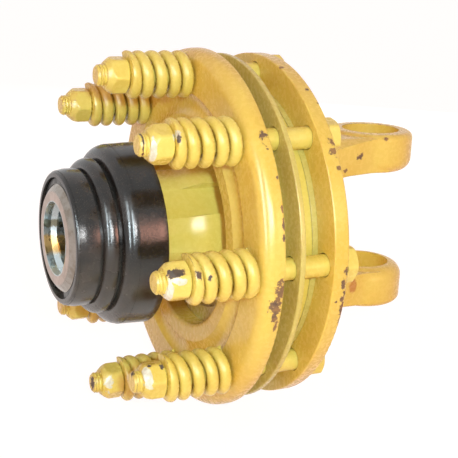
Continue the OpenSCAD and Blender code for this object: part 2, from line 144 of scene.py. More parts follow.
class Wiring:
    """Places nodes in one shader tree and joins their sockets."""

    def __init__(self, tree: bpy.types.NodeTree) -> None:
        """Keeps the tree that the nodes go into.

        Args:
            tree: Node tree of a material, a world or a node group.
        """
        self.tree = tree

    def add(self, kind: str, **settings: Any) -> bpy.types.Node:
        """Adds one node.

        Args:
            kind: Blender's type name of the node.
            settings: Attributes of the node and their values.

        Returns:
            The new node.
        """
        node = self.tree.nodes.new(kind)
        for name, value in settings.items():
            setattr(node, name, value)
        return node

    def feed(self, target: Socket, source: Any) -> None:
        """Links a socket to the target, or sets a constant on it.

        Args:
            target: Input socket.
            source: Output socket, number, vector or colour.
        """
        if isinstance(source, bpy.types.NodeSocket):
            self.tree.links.new(source, target)
        elif isinstance(source, tuple) and target.type == "RGBA":
            target.default_value = (*source, 1.0)
        else:
            target.default_value = source

    def fill(self, node: bpy.types.Node, **values: Any) -> bpy.types.Node:
        """Feeds several inputs of a node.

        Args:
            node: The node.
            values: Inputs by name, with underscores for spaces.

        Returns:
            The same node.
        """
        for name, value in values.items():
            self.feed(node.inputs[name.replace("_", " ")], value)
        return node

    def math(self, operation: str, a: Any, b: Any = 0.0) -> Socket:
        """Does arithmetic on two values.

        Args:
            operation: Blender's name of the operation.
            a: First value or socket.
            b: Second value or socket.

        Returns:
            The result's socket.
        """
        node = self.add("ShaderNodeMath", operation=operation)
        self.feed(node.inputs[0], a)
        self.feed(node.inputs[1], b)
        return node.outputs[0]

    def vector_math(self, operation: str, a: Any, b: Any = (0.0, 0.0, 0.0)) -> bpy.types.Node:
        """Does arithmetic on two vectors.

        Args:
            operation: Blender's name of the operation.
            a: First vector or socket.
            b: Second vector or socket.

        Returns:
            The node, whose outputs are Vector and Value.
        """
        node = self.add("ShaderNodeVectorMath", operation=operation)
        self.feed(node.inputs[0], a)
        self.feed(node.inputs[1], b)
        return node

    def ramp(self, value: Any, low: float, high: float) -> Socket:
        """Rises smoothly from 0 at low to 1 at high, or falls where high is below low.

        Args:
            value: Value or socket.
            low: Where the result is 0.
            high: Where the result is 1.

        Returns:
            The result's socket.
        """
        node = self.add("ShaderNodeMapRange", interpolation_type="SMOOTHSTEP")
        rise = 1.0 if low < high else 0.0
        self.fill(node, Value=value, From_Min=min(low, high), From_Max=max(low, high))
        self.fill(node, To_Min=1.0 - rise, To_Max=rise)
        return node.outputs["Result"]

    def mix(self, share: Any, a: Any, b: Any) -> Socket:
        """Mixes two colours.

        Args:
            share: Share of the second colour.
            a: First colour or socket.
            b: Second colour or socket.

        Returns:
            The mixed colour's socket.
        """
        node = self.add("ShaderNodeMix", data_type="RGBA")
        self.feed(node.inputs[0], share)
        self.feed(node.inputs[6], a)
        self.feed(node.inputs[7], b)
        return node.outputs[2]

    def blend(self, share: Any, a: Any, b: Any) -> Socket:
        """Mixes two values.

        Args:
            share: Share of the second value.
            a: First value or socket.
            b: Second value or socket.

        Returns:
            The mixed value's socket.
        """
        node = self.add("ShaderNodeMix", data_type="FLOAT")
        self.feed(node.inputs[0], share)
        self.feed(node.inputs[2], a)
        self.feed(node.inputs[3], b)
        return node.outputs[0]

    def noise(self, vector: Any, size: float, detail: float = 3.0, rough: float = 0.55) -> Socket:
        """Makes cloudy noise whose lumps are about one size across.

        Args:
            vector: Place socket, in metres.
            size: Size of the lumps, in metres.
            detail: Number of finer layers.
            rough: Strength of the finer layers.

        Returns:
            The noise value's socket, about 0.5 on average.
        """
        node = self.add("ShaderNodeTexNoise")
        self.fill(node, Vector=vector, Scale=1.0 / size, Detail=detail, Roughness=rough)
        return node.outputs["Fac"]

    def bump(self, height: Socket, distance: float = 1.0, **normal: Socket) -> Socket:
        """Turns a height into a normal.

        Args:
            height: Height socket.
            distance: Metres that a height of 1 stands for.
            normal: Normal socket to start from, under the name Normal, or none.

        Returns:
            The normal's socket.
        """
        node = self.add("ShaderNodeBump")
        return self.fill(node, Distance=distance, Height=height, **normal).outputs[0]

    def place(self) -> Socket:
        """Gives the place on the piece, in metres in the part's own frame."""
        return self.add("ShaderNodeTexCoord").outputs["Object"]

    def axes(self, vector: Any) -> tuple[Socket, Socket, Socket]:
        """Splits a vector.

        Args:
            vector: Vector socket.

        Returns:
            Its X, Y and Z sockets.
        """
        node = self.add("ShaderNodeSeparateXYZ")
        self.feed(node.inputs[0], vector)
        return node.outputs[0], node.outputs[1], node.outputs[2]

    def from_axis(self, vector: Any) -> tuple[Socket, Socket]:
        """Gives station and radius about the shaft axis.

        Args:
            vector: Place socket.

        Returns:
            Sockets of the station along X and of the distance from that axis.
        """
        x, y, z = self.axes(vector)
        square = self.math("ADD", self.math("MULTIPLY", y, y), self.math("MULTIPLY", z, z))
        return x, self.math("SQRT", square)

    def use(self, effect: Effect, **values: Any) -> dict[str, Socket]:
        """Places a shared effect.

        Args:
            effect: The effect.
            values: Its inputs by name, with underscores for spaces.

        Returns:
            Its outputs by name.
        """
        node = self.fill(self.add("ShaderNodeGroup", node_tree=EFFECTS.group(effect)), **values)
        return {socket.name: socket for socket in node.outputs}


@dataclass
class GroupSheet:
    """Starts one shader node group with named sockets.

    Attributes:
        effect: The effect that the group is for.
        inputs: Kind and default of each input, by name.
        outputs: Kind of each output, by name.
    """

    effect: Effect
    inputs: dict[str, tuple[str, Any]]
    outputs: dict[str, str]

    def start(self) -> tuple[bpy.types.NodeTree, Wiring, dict[str, Socket], dict[str, Socket]]:
        """Makes the group and its sockets.

        Returns:
            The tree, its wiring, the input sockets to read and the output sockets to feed.
        """
        tree = bpy.data.node_groups.new(self.effect.value, "ShaderNodeTree")
        for name, (kind, value) in self.inputs.items():
            socket = tree.interface.new_socket(name, in_out="INPUT", socket_type=kind)
            socket.default_value = value
        for name, kind in self.outputs.items():
            tree.interface.new_socket(name, in_out="OUTPUT", socket_type=kind)
        wiring = Wiring(tree)
        given = wiring.add("NodeGroupInput")
        result = wiring.add("NodeGroupOutput")
        read = {name: given.outputs[name] for name in self.inputs}
        write = {name: result.inputs[name] for name in self.outputs}
        return tree, wiring, read, write


@dataclass
class Effects:
    """Builds each shared effect once, as a node group.

    Attributes:
        peel_lump: Size of the brush marks, in metres.
        cast_lump: Size of the lumps of a cast or forged skin, in metres.
        tone_patch: Size of the patches of thick and thin paint, in metres.
        grain_lump: Size of the patches of smooth and rough paint, in metres.
        ripple_lump: Size of the notches in a chip's outline, in metres.
        ripple_gain: Depth of those notches, in shares of the chip's reach.
        edge_reach: Width of worn edges, in metres.
        edge_patch: Size of the patches where edges are worn, in metres.
        rust_fine: Size of the fine rust spots, in metres.
        rust_coarse: Size of the coarse rust spots, in metres.
        rust_dark: Colour of the darkest rust.
        rust_brown: Colour of the fine rust spots.
        rust_orange: Colour of the coarse rust spots.
        mill_scale: Colour of dark scale.
        shine_patch: Size of the clean and soiled patches of bare metal, in metres.
        tone_span: Noise over which thick paint passes into thin paint.
        grain_span: Noise over which smooth paint passes into rough paint.
        chip_span: Share of a chip's reach over which the chip fades out.
        bend_span: Bend of the surface over which it counts as an edge.
        patch_span: Noise over which edges pass from worn to whole.
        wear_span: Amount of wear over which the paint goes.
        fine_span: Noise over which the fine rust spots come up.
        coarse_span: Noise over which the coarse rust spots come up.
        rust_gloss: Roughness of the darkest rust and of the fine spots.
        shine_span: Noise over which clean metal passes into soiled metal.
        fleck_span: Distance from a speck's middle over which it fades, in cells.
        built: Groups that are built already.
    """

    peel_lump: float = 1.6 * MM
    cast_lump: float = 5.0 * MM
    tone_patch: float = 34.0 * MM
    grain_lump: float = 2.6 * MM
    ripple_lump: float = 2.6 * MM
    ripple_gain: float = 4.4
    edge_reach: float = 0.9 * MM
    edge_patch: float = 11.0 * MM
    rust_fine: float = 1.8 * MM
    rust_coarse: float = 6.0 * MM
    rust_dark: Colour = (0.110, 0.067, 0.048)
    rust_brown: Colour = (0.25, 0.15, 0.085)
    rust_orange: Colour = (0.30, 0.165, 0.070)
    mill_scale: Colour = (0.050, 0.046, 0.048)
    shine_patch: float = 7.0 * MM
    tone_span: Span = (0.35, 0.68)
    grain_span: Span = (0.3, 0.7)
    chip_span: Span = (1.30, 0.70)
    bend_span: Span = (0.03, 0.16)
    patch_span: Span = (0.62, 0.40)
    wear_span: Span = (0.25, 0.40)
    fine_span: Span = (0.36, 0.66)
    coarse_span: Span = (0.4, 0.65)
    rust_gloss: Span = (0.6, 0.85)
    shine_span: Span = (0.35, 0.65)
    fleck_span: Span = (0.42, 0.22)
    built: dict[Effect, bpy.types.NodeTree] = field(default_factory=dict)

    def group(self, effect: Effect) -> bpy.types.NodeTree:
        """Gives an effect's group, built at its first use.

        Args:
            effect: The effect.

        Returns:
            The group's tree.
        """
        makers: dict[Effect, Callable[[], bpy.types.NodeTree]] = {
            Effect.SKIN: self._make_skin,
            Effect.CHIP: self._make_chip,
            Effect.EDGE: self._make_edge,
            Effect.RUST: self._make_rust,
            Effect.TURNED: self._make_turned,
            Effect.FLECKS: self._make_flecks,
        }
        if effect not in self.built:
            self.built[effect] = makers[effect]()
        return self.built[effect]

    def _make_skin(self) -> bpy.types.NodeTree:
        """Builds the skin of enamel over a cast or forged surface.

        Returns:
            The group's tree.
        """
        inputs = {"Peel": (FLOAT, 0.0), "Cast": (FLOAT, 0.0)}
        sheet = GroupSheet(Effect.SKIN, inputs, {"Height": FLOAT, "Tone": FLOAT, "Grain": FLOAT})
        tree, w, read, write = sheet.start()
        place = w.place()
        peel = w.math("SUBTRACT", w.noise(place, self.peel_lump, 2.0), 0.5)
        cast = w.math("SUBTRACT", w.noise(place, self.cast_lump, 2.0, 0.5), 0.5)
        brushed = w.math("MULTIPLY", peel, read["Peel"])
        w.feed(write["Height"], w.math("ADD", brushed, w.math("MULTIPLY", cast, read["Cast"])))
        w.feed(write["Tone"], w.ramp(w.noise(place, self.tone_patch), *self.tone_span))
        w.feed(write["Grain"], w.ramp(w.noise(place, self.grain_lump), *self.grain_span))
        return tree

    def _make_chip(self) -> bpy.types.NodeTree:
        """Builds one ragged chip at a given place.

        Returns:
            The group's tree.
        """
        nowhere = (0.0, 0.0, 0.0)
        inputs = {"Centre": (VECTOR, nowhere), "Reach": (VECTOR, (MM, MM, MM)), "Ragged": (FLOAT, 1.0)}
        tree, w, read, write = GroupSheet(Effect.CHIP, inputs, {"Mask": FLOAT}).start()
        place = w.place()
        offset = w.vector_math("SUBTRACT", place, read["Centre"]).outputs["Vector"]
        share = w.vector_math("DIVIDE", offset, read["Reach"]).outputs["Vector"]
        distance = w.vector_math("LENGTH", share).outputs["Value"]
        ripple = w.math("SUBTRACT", w.noise(place, self.ripple_lump, 5.0, 0.75), 0.5)
        wander = w.math("MULTIPLY", ripple, w.math("MULTIPLY", read["Ragged"], self.ripple_gain))
        w.feed(write["Mask"], w.ramp(w.math("ADD", distance, wander), *self.chip_span))
        return tree

    def _make_edge(self) -> bpy.types.NodeTree:
        """Builds the wear along sharp edges.

        Returns:
            The group's tree.
        """
        sheet = GroupSheet(Effect.EDGE, {"Amount": (FLOAT, 0.3)}, {"Mask": FLOAT})
        tree, w, read, write = sheet.start()
        bevel = w.fill(w.add("ShaderNodeBevel", samples=BEVEL_RAYS), Radius=self.edge_reach)
        normal = w.add("ShaderNodeNewGeometry").outputs["Normal"]
        facing = w.vector_math("DOT_PRODUCT", bevel.outputs[0], normal).outputs["Value"]
        sharp = w.ramp(w.math("SUBTRACT", 1.0, facing), *self.bend_span)
        patch = w.ramp(w.noise(w.place(), self.edge_patch, 5.0, 0.65), *self.patch_span)
        worn = w.math("MULTIPLY", sharp, read["Amount"])
        limit = w.math("MULTIPLY", worn, w.math("SUBTRACT", 1.0, patch))
        w.feed(write["Mask"], w.ramp(limit, *self.wear_span))
        return tree

    def _make_rust(self) -> bpy.types.NodeTree:
        """Builds the dull brown steel under the paint.

        Returns:
            The group's tree.
        """
        outputs = {"Colour": COLOUR, "Roughness": FLOAT}
        tree, w, read, write = GroupSheet(Effect.RUST, {"Scale": (FLOAT, 0.0)}, outputs).start()
        place = w.place()
        fine = w.ramp(w.noise(place, self.rust_fine, 4.0, 0.7), *self.fine_span)
        coarse = w.ramp(w.noise(place, self.rust_coarse), *self.coarse_span)
        rusty = w.mix(coarse, w.mix(fine, self.rust_dark, self.rust_brown), self.rust_orange)
        w.feed(write["Colour"], w.mix(read["Scale"], rusty, self.mill_scale))
        w.feed(write["Roughness"], w.blend(fine, *self.rust_gloss))
        return tree

    def _make_turned(self) -> bpy.types.NodeTree:
        """Builds the fine marks of a lathe, round the shaft axis.

        Returns:
            The group's tree.
        """
        outputs = {"Height": FLOAT, "Shine": FLOAT}
        tree, w, read, write = GroupSheet(Effect.TURNED, {"Pitch": (FLOAT, 0.4 * MM)}, outputs).start()
        place = w.place()
        station, radius = w.from_axis(place)
        along = w.math("DIVIDE", w.math("ADD", station, radius), read["Pitch"])
        marks = w.add("ShaderNodeTexNoise", noise_dimensions="1D")
        w.fill(marks, W=along, Scale=1.0, Detail=2.0)
        w.feed(write["Height"], marks.outputs["Fac"])
        soil = w.noise(place, self.shine_patch, 4.0, 0.6)
        w.feed(write["Shine"], w.ramp(soil, *self.shine_span))
        return tree

    def _make_flecks(self) -> bpy.types.NodeTree:
        """Builds small scattered specks.

        Returns:
            The group's tree.
        """
        inputs = {"Size": (FLOAT, MM), "Share": (FLOAT, 0.1)}
        tree, w, read, write = GroupSheet(Effect.FLECKS, inputs, {"Mask": FLOAT}).start()
        cells = w.add("ShaderNodeTexVoronoi")
        w.fill(cells, Vector=w.place(), Scale=w.math("DIVIDE", 1.0, read["Size"]))
        pick = w.add("ShaderNodeSeparateColor")
        w.feed(pick.inputs[0], cells.outputs["Color"])
        chosen = w.math("LESS_THAN", pick.outputs[0], read["Share"])
        near = w.ramp(cells.outputs["Distance"], *self.fleck_span)
        w.feed(write["Mask"], w.math("MULTIPLY", chosen, near))
        return tree


EFFECTS = Effects()


@dataclass(frozen=True)
class Chip:
    """One place where the paint is knocked off or thin.

    Attributes:
        at: Centre, in millimetres in the part's frame.
        reach: Half sizes along X, Y and Z, in millimetres.
        ragged: How far the outline wanders.
    """

    at: Point
    reach: Point
    ragged: float = 1.0

    def mask(self, w: Wiring) -> Socket:
        """Marks the chip.

        Args:
            w: Wiring of the material.

        Returns:
            The mask's socket.
        """
        centre = tuple(value * MM for value in self.at)
        reach = tuple(value * MM for value in self.reach)
        return w.use(Effect.CHIP, Centre=centre, Reach=reach, Ragged=self.ragged)["Mask"]


def join_masks(w: Wiring, masks: list[Socket]) -> Socket:
    """Joins several masks.

    Args:
        w: Wiring of the material.
        masks: One or more mask sockets.

    Returns:
        The joined mask's socket.
    """
    total = masks[0]
    for mask in masks[1:]:
        total = w.math("MAXIMUM", total, mask)
    return total


def new_material(name: str) -> tuple[bpy.types.Material, Wiring, bpy.types.Node]:
    """Starts a material with a Principled shader.

    Args:
        name: Name of the material.

    Returns:
        The material, its wiring and the shader node.
    """
    material = bpy.data.materials.new(name)
    material.use_nodes = True
    wiring = Wiring(material.node_tree)
    shader = material.node_tree.nodes["Principled BSDF"]
    return material, wiring, shader


# Depths in metres, shares and colours of the enamel's layers
MACHINED = 0.012 * MM
PAINT_SHINE = 0.34
CHIP_DEPTH = 0.12 * MM
CHIP_SPAN: Span = (0.45, 0.62)
RIM_SPAN: Span = (0.12, 0.40)
PRIMER_SPAN: Span = (0.40, 0.60)
CHIP_RIM: Colour = (0.52, 0.31, 0.13)
PRIMER: Pair = ((0.66, 0.64, 0.55), (0.82, 0.83, 0.80))
# Red-tinted painted shade for spots in shadow, and how strongly it covers the paint
RED_SHADE: Colour = (0.46, 0.17, 0.045)
RED_SHADE_SHARE = 0.8


@dataclass(frozen=True)
class Enamel:
    """Glossy yellow paint on steel, with chips down to rust.

    Attributes:
        name: Name of the material.
        colour: Colour of the paint where it is thick.
        thin: Colour of the paint where it is thin.
        roughness: Roughness of the paint where it is smoothest.
        spread: How much rougher it is elsewhere.
        peel: Height of the brush marks, in metres.
        cast: Height of the cast or forged skin, in metres.
        edge_soft: Radius of the edges' highlight, in metres.
        wear: How much paint has gone from sharp edges.
        scale: Share of dark mill scale where the paint is gone.
        chips: Chips at known places.
        pale: Chips at known places that show pale primer.
        painted_shade_spots: Soft spots at known places with red-tinted painted shade.
    """

    name: str
    colour: Colour = (0.755, 0.555, 0.130)
    thin: Colour = (0.725, 0.500, 0.098)
    roughness: float = 0.24
    spread: float = 0.06
    peel: float = 0.012 * MM
    cast: float = 0.07 * MM
    edge_soft: float = 0.7 * MM
    wear: float = 0.45
    scale: float = 0.0
    chips: tuple[Chip, ...] = ()
    pale: tuple[Chip, ...] = ()
    painted_shade_spots: tuple[Chip, ...] = ()

    def material(self) -> bpy.types.Material:
        """Builds the material.

        Returns:
            The material.
        """
        material, w, shader = new_material(self.name)
        colour, normal, roughness = self.layers(w)
        w.fill(shader, Base_Color=colour, Roughness=roughness, Normal=normal)
        w.fill(shader, Specular_IOR_Level=PAINT_SHINE)
        return material

    def layers(self, w: Wiring) -> tuple[Socket, Socket, Socket]:
        """Wires paint, chips and worn edges.

        Args:
            w: Wiring of the material.

        Returns:
            Sockets of the colour, the normal and the roughness.
        """
        skin = w.use(Effect.SKIN, Peel=self.peel, Cast=self.cast)
        colour = self.paint(w, skin)
        roughness = w.blend(skin["Grain"], self.roughness, self.roughness + self.spread)
        height = skin["Height"]
        masks = [chip.mask(w) for chip in self.chips]
        if self.wear > 0.0:
            masks.append(w.use(Effect.EDGE, Amount=self.wear)["Mask"])
        if masks:
            worn = join_masks(w, masks)
            bare = w.ramp(worn, *CHIP_SPAN)
            rust = w.use(Effect.RUST, Scale=self.scale)
            rimmed = w.mix(w.ramp(worn, *RIM_SPAN), colour, CHIP_RIM)
            colour = w.mix(bare, rimmed, rust["Colour"])
            roughness = w.blend(bare, roughness, rust["Roughness"])
            height = w.math("SUBTRACT", height, w.math("MULTIPLY", bare, CHIP_DEPTH))
        soft = w.fill(w.add("ShaderNodeBevel", samples=BEVEL_RAYS), Radius=self.edge_soft)
        return colour, w.bump(height, Normal=soft.outputs[0]), roughness

    def paint(self, w: Wiring, skin: dict[str, Socket]) -> Socket:
        """Colours the paint, with its spots of painted shade and pale primer.

        Args:
            w: Wiring of the material.
            skin: Outputs of the enamel skin.

        Returns:
            The colour's socket.
        """
        paint = w.mix(skin["Tone"], self.colour, self.thin)
        # Spots of red-tinted painted shade, where a shadow falls on the paint
        if self.painted_shade_spots:
            red = join_masks(w, [painted_dark.mask(w) for painted_dark in self.painted_shade_spots])
            paint = w.mix(w.math("MULTIPLY", red, RED_SHADE_SHARE), paint, RED_SHADE)
        if self.pale:
            shown = join_masks(w, [chip.mask(w) for chip in self.pale])
            paint = w.mix(w.ramp(shown, *PRIMER_SPAN), paint, w.mix(skin["Grain"], *PRIMER))
        return paint


@dataclass(frozen=True)
class HubFinish:
    """Enamel on the hub's barrel, tan turned steel on its nose and polished steel in its bore.

    Attributes:
        name: Name of the material.
        enamel: The paint.
        shoulder: Station where the paint ends, in metres.
        face_r: Radius of the flat end face, in metres.
        bore: Radius of the bore's mouth, in metres.
        soft: Width over which one finish passes into the next, in metres.
        pitch: Distance between lathe marks, in metres.
        groove: Depth of the lathe marks, in metres.
        face: Colours of the end face, clean and soiled.
        bevel: Colours of the bevel and the nose, clean and soiled.
        steel: Colours of the bore, in its lower and in its upper half; that change by height is painted
            reflection.
        yellow_reflection: Colour of a painted reflection of the yellow paint, low in the bore.
        painted_dark: Colour of a painted dark reflection band above it.
        face_gloss: Roughness of the end face, clean and soiled.
        bevel_gloss: Roughness of the bevel and the nose, clean and soiled.
        bore_gloss: Roughness of the bore, clean and soiled.
        upper: Heights between which the bore's colours change, in metres.
        yellow_band_top: Heights between which the yellow band comes up from above, in metres.
        yellow_band_foot: Heights between which it comes up from below, in metres.
        dark_band_top: Heights between which the dark band comes up from above, in metres.
        dark_band_foot: Heights between which it comes up from below, in metres.
        wobble_lump: Size of the wobble in the bands' edges, in metres.
        wobble_depth: Depth of that wobble, in metres.
    """

    name: str
    enamel: Enamel
    shoulder: float
    face_r: float
    bore: float
    soft: float = 0.4 * MM
    pitch: float = 0.35 * MM
    groove: float = 0.008 * MM
    face: Pair = ((0.47, 0.365, 0.31), (0.37, 0.285, 0.24))
    bevel: Pair = ((0.34, 0.305, 0.27), (0.25, 0.205, 0.165))
    steel: Pair = ((0.52, 0.59, 0.61), (0.40, 0.43, 0.43))
    yellow_reflection: Colour = (0.56, 0.36, 0.14)
    painted_dark: Colour = (0.20, 0.19, 0.14)
    face_gloss: Span = (0.34, 0.46)
    bevel_gloss: Span = (0.13, 0.20)
    bore_gloss: Span = (0.24, 0.32)
    upper: Span = (4.0 * MM, 9.0 * MM)
    yellow_band_top: Span = (-2.5 * MM, -5.0 * MM)
    yellow_band_foot: Span = (-15.0 * MM, -11.0 * MM)
    dark_band_top: Span = (6.5 * MM, 5.0 * MM)
    dark_band_foot: Span = (1.0 * MM, 2.2 * MM)
    wobble_lump: float = 5.0 * MM
    wobble_depth: float = 7.0 * MM

    def material(self) -> bpy.types.Material:
        """Builds the material.

        Returns:
            The material.
        """
        material, w, shader = new_material(self.name)
        paint, paint_normal, paint_rough = self.enamel.layers(w)
        place = w.place()
        station, radius = w.from_axis(place)
        within = w.ramp(radius, self.bore + 2.0 * self.soft, self.bore + self.soft)
        nose = w.ramp(station, self.shoulder + self.soft, self.shoulder - self.soft)
        bare = w.math("MAXIMUM", within, nose)
        on_bevel = w.ramp(radius, self.face_r - self.soft, self.face_r + self.soft)
        bright = w.math("MAXIMUM", within, on_bevel)
        marks = w.use(Effect.TURNED, Pitch=self.pitch)
        shine = marks["Shine"]
        polished = w.mix(within, w.mix(shine, *self.bevel), self.bore_reflections(w, place))
        steel = w.mix(bright, w.mix(shine, *self.face), polished)
        smooth = w.blend(within, w.blend(shine, *self.bevel_gloss), w.blend(shine, *self.bore_gloss))
        dull = w.blend(bright, w.blend(shine, *self.face_gloss), smooth)
        turn = w.add("ShaderNodeMix", data_type="VECTOR")
        w.feed(turn.inputs[0], bare)
        w.feed(turn.inputs[4], paint_normal)
        w.feed(turn.inputs[5], w.bump(marks["Height"], self.groove))
        w.fill(shader, Base_Color=w.mix(bare, paint, steel), Roughness=w.blend(bare, paint_rough, dull))
        w.fill(shader, Metallic=bare, Normal=turn.outputs[1], Specular_IOR_Level=PAINT_SHINE)
        return material

    def bore_reflections(self, w: Wiring, place: Socket) -> Socket:
        """Colours the bore with painted reflections: bluish steel, lighter below, a painted dark band and a
        painted yellow reflection of the paint low down.

        Args:
            w: Wiring of the material.
            place: Place on the hub, in metres.

        Returns:
            The colour's socket.
        """
        _, _, height = w.axes(place)
        # The bands by height are painted reflections: a dark band, and a yellow band for the paint's
        # reflection
        band_wobble = w.math("SUBTRACT", w.noise(place, self.wobble_lump), 0.5)
        level = w.math("ADD", height, w.math("MULTIPLY", band_wobble, self.wobble_depth))
        yellow_band = w.math("MULTIPLY", w.ramp(level, *self.yellow_band_top), w.ramp(level, *self.yellow_band_foot))
        painted_dark = w.math("MULTIPLY", w.ramp(level, *self.dark_band_foot), w.ramp(level, *self.dark_band_top))
        clean = w.mix(w.ramp(height, *self.upper), *self.steel)
        return w.mix(painted_dark, w.mix(yellow_band, clean, self.yellow_reflection), self.painted_dark)


@dataclass(frozen=True)
class TurnedMetal:
    """Oiled metal of the small inner pieces.

    Attributes:
        name: Name of the material.
        clean: Colour of the clean patches.
        soiled: Colour of the soiled patches.
        smooth: Roughness of the clean patches.
        rough: Roughness of the soiled patches.
    """

    name: str = "Oiled steel"
    clean: Colour = (0.55, 0.53, 0.50)
    soiled: Colour = (0.42, 0.39, 0.35)
    smooth: float = 0.22
    rough: float = 0.38

    def material(self) -> bpy.types.Material:
        """Builds the material.

        Returns:
            The material.
        """
        material, w, shader = new_material(self.name)
        shine = w.use(Effect.TURNED)["Shine"]
        w.fill(shader, Base_Color=w.mix(shine, self.clean, self.soiled), Metallic=1.0)
        w.fill(shader, Roughness=w.blend(shine, self.smooth, self.rough))
        return material


@dataclass(frozen=True)
class BlackCoat:
    """Satin black coating of the lock collar, with fine specks and oily patches, lighter on its lower half as
    a painted reflection of the floor.

    Attributes:
        name: Name of the material.
        peel: Height of the brush marks, in metres.
        cast: Height of the turned skin, in metres.
        grit: Height of the fine grit, in metres.
        grit_lump: Size of that grit, in metres.
        speck: Size of the specks, in metres.
        speck_share: Share of the places that have a speck.
        speck_colour: Colour of the specks.
        oil_patch: Size of the oily patches, in metres.
        oil_span: Noise over which the oily patches come up.
        plain_black: Colours of the upper half, dry and oily.
        floor_lit_black: Colours of the lower half, dry and oily, lighter as a painted reflection of the
            floor.
        floor_sheen_span: Heights between which the painted reflection comes up, in metres.
        gloss: Roughness, dry and oily.
    """

    name: str = "Black collar coating"
    peel: float = 0.05 * MM
    cast: float = 0.02 * MM
    grit: float = 0.035 * MM
    grit_lump: float = 0.55 * MM
    speck: float = 0.7 * MM
    speck_share: float = 0.30
    speck_colour: Colour = (0.038, 0.032, 0.029)
    oil_patch: float = 16.0 * MM
    oil_span: Span = (0.42, 0.66)
    plain_black: Pair = ((0.010, 0.0095, 0.010), (0.027, 0.021, 0.019))
    floor_lit_black: Pair = ((0.048, 0.046, 0.044), (0.064, 0.057, 0.052))
    floor_sheen_span: Span = (6.0 * MM, -22.0 * MM)
    gloss: Span = (0.20, 0.29)

    def material(self) -> bpy.types.Material:
        """Builds the material.

        Returns:
            The material.
        """
        material, w, shader = new_material(self.name)
        place = w.place()
        skin = w.use(Effect.SKIN, Peel=self.peel, Cast=self.cast)
        flecks = w.use(Effect.FLECKS, Size=self.speck, Share=self.speck_share)
        grit = w.math("MULTIPLY", w.noise(place, self.grit_lump, 1.0), self.grit)
        oily = w.ramp(w.noise(place, self.oil_patch, 4.0, 0.6), *self.oil_span)
        _, _, height = w.axes(place)
        # The lower half is painted lighter: a painted reflection of the floor
        floor_sheen = w.ramp(height, *self.floor_sheen_span)
        black = w.mix(floor_sheen, w.mix(oily, *self.plain_black), w.mix(oily, *self.floor_lit_black))
        w.fill(shader, Base_Color=w.mix(flecks["Mask"], black, self.speck_colour))
        w.fill(shader, Roughness=w.blend(oily, *self.gloss))
        w.fill(shader, Normal=w.bump(w.math("ADD", skin["Height"], grit)))
        return material


@dataclass(frozen=True)
class LiningFinish:
    """Brown friction material with brass specks, its outer edge caught by the paint.

    Attributes:
        name: Name of the material.
        enamel: The paint on the outer edge.
        edge: Radius of the lining, in metres.
        seen_within: Radius of the hole through which paint reached the lining, in metres.
        outer_span: Depth under the outer edge over which the paint comes up, in metres.
        inner_soft: Half of the width over which the paint within fades, in metres.
        brown: Colours of the friction material and of its specks.
        speck: Size of the specks, in metres.
        speck_share: Share of the places that have a speck.
        matt: Roughness of the friction material.
    """

    name: str
    enamel: Enamel
    edge: float
    seen_within: float = 57.0 * MM
    outer_span: Span = (0.6 * MM, 0.2 * MM)
    inner_soft: float = 1.0 * MM
    brown: Pair = ((0.10, 0.072, 0.052), (0.36, 0.25, 0.10))
    speck: float = 1.4 * MM
    speck_share: float = 0.22
    matt: float = 0.85

    def material(self) -> bpy.types.Material:
        """Builds the material.

        Returns:
            The material.
        """
        material, w, shader = new_material(self.name)
        colour, normal, roughness = self.enamel.layers(w)
        _, radius = w.from_axis(w.place())
        outer = w.ramp(radius, self.edge - self.outer_span[0], self.edge - self.outer_span[1])
        inner = w.ramp(radius, self.seen_within + self.inner_soft, self.seen_within - self.inner_soft)
        painted = w.math("MAXIMUM", outer, inner)
        flecks = w.use(Effect.FLECKS, Size=self.speck, Share=self.speck_share)
        brown = w.mix(flecks["Mask"], *self.brown)
        w.fill(shader, Base_Color=w.mix(painted, brown, colour), Normal=normal)
        w.fill(shader, Roughness=w.blend(painted, self.matt, roughness))
        return material


# Darker paint for the pieces in the gaps, partly painted shade and partly their duller paint; fresher paint;
# and the chips, by piece
SHADED: Pair = ((0.62, 0.52, 0.17), (0.58, 0.47, 0.135))
FRESH: Pair = ((0.755, 0.620, 0.165), (0.735, 0.570, 0.125))
PLATE_CHIPS: tuple[Chip, ...] = (
    Chip((-114.4, -102.7, -6.0), (2.4, 2.0, 4.8)),
    Chip((-115.8, -102.4, -11.1), (1.3, 2.0, 1.3)),
    Chip((-116.6, -101.6, -16.2), (2.8, 2.2, 4.8)),
    Chip((-116.2, -100.6, -21.5), (1.6, 2.0, 2.2)),
    Chip((-114.6, -99.8, -25.5), (0.8, 2.0, 3.4), 1.4),
    Chip((-115.8, -77.6, 67.4), (1.4, 2.2, 2.6), 1.7),
    Chip((-115.4, -82.0, 62.2), (0.8, 1.2, 1.4), 1.5),
    Chip((-113.4, -90.4, 49.2), (0.8, 1.0, 1.3)),
    Chip((-113.2, -97.1, 34.1), (0.6, 1.2, 2.2)),
    Chip((-113.3, -99.4, 27.0), (0.6, 1.2, 3.0)),
    Chip((-113.5, -101.0, 20.3), (0.6, 1.2, 1.8)),
)
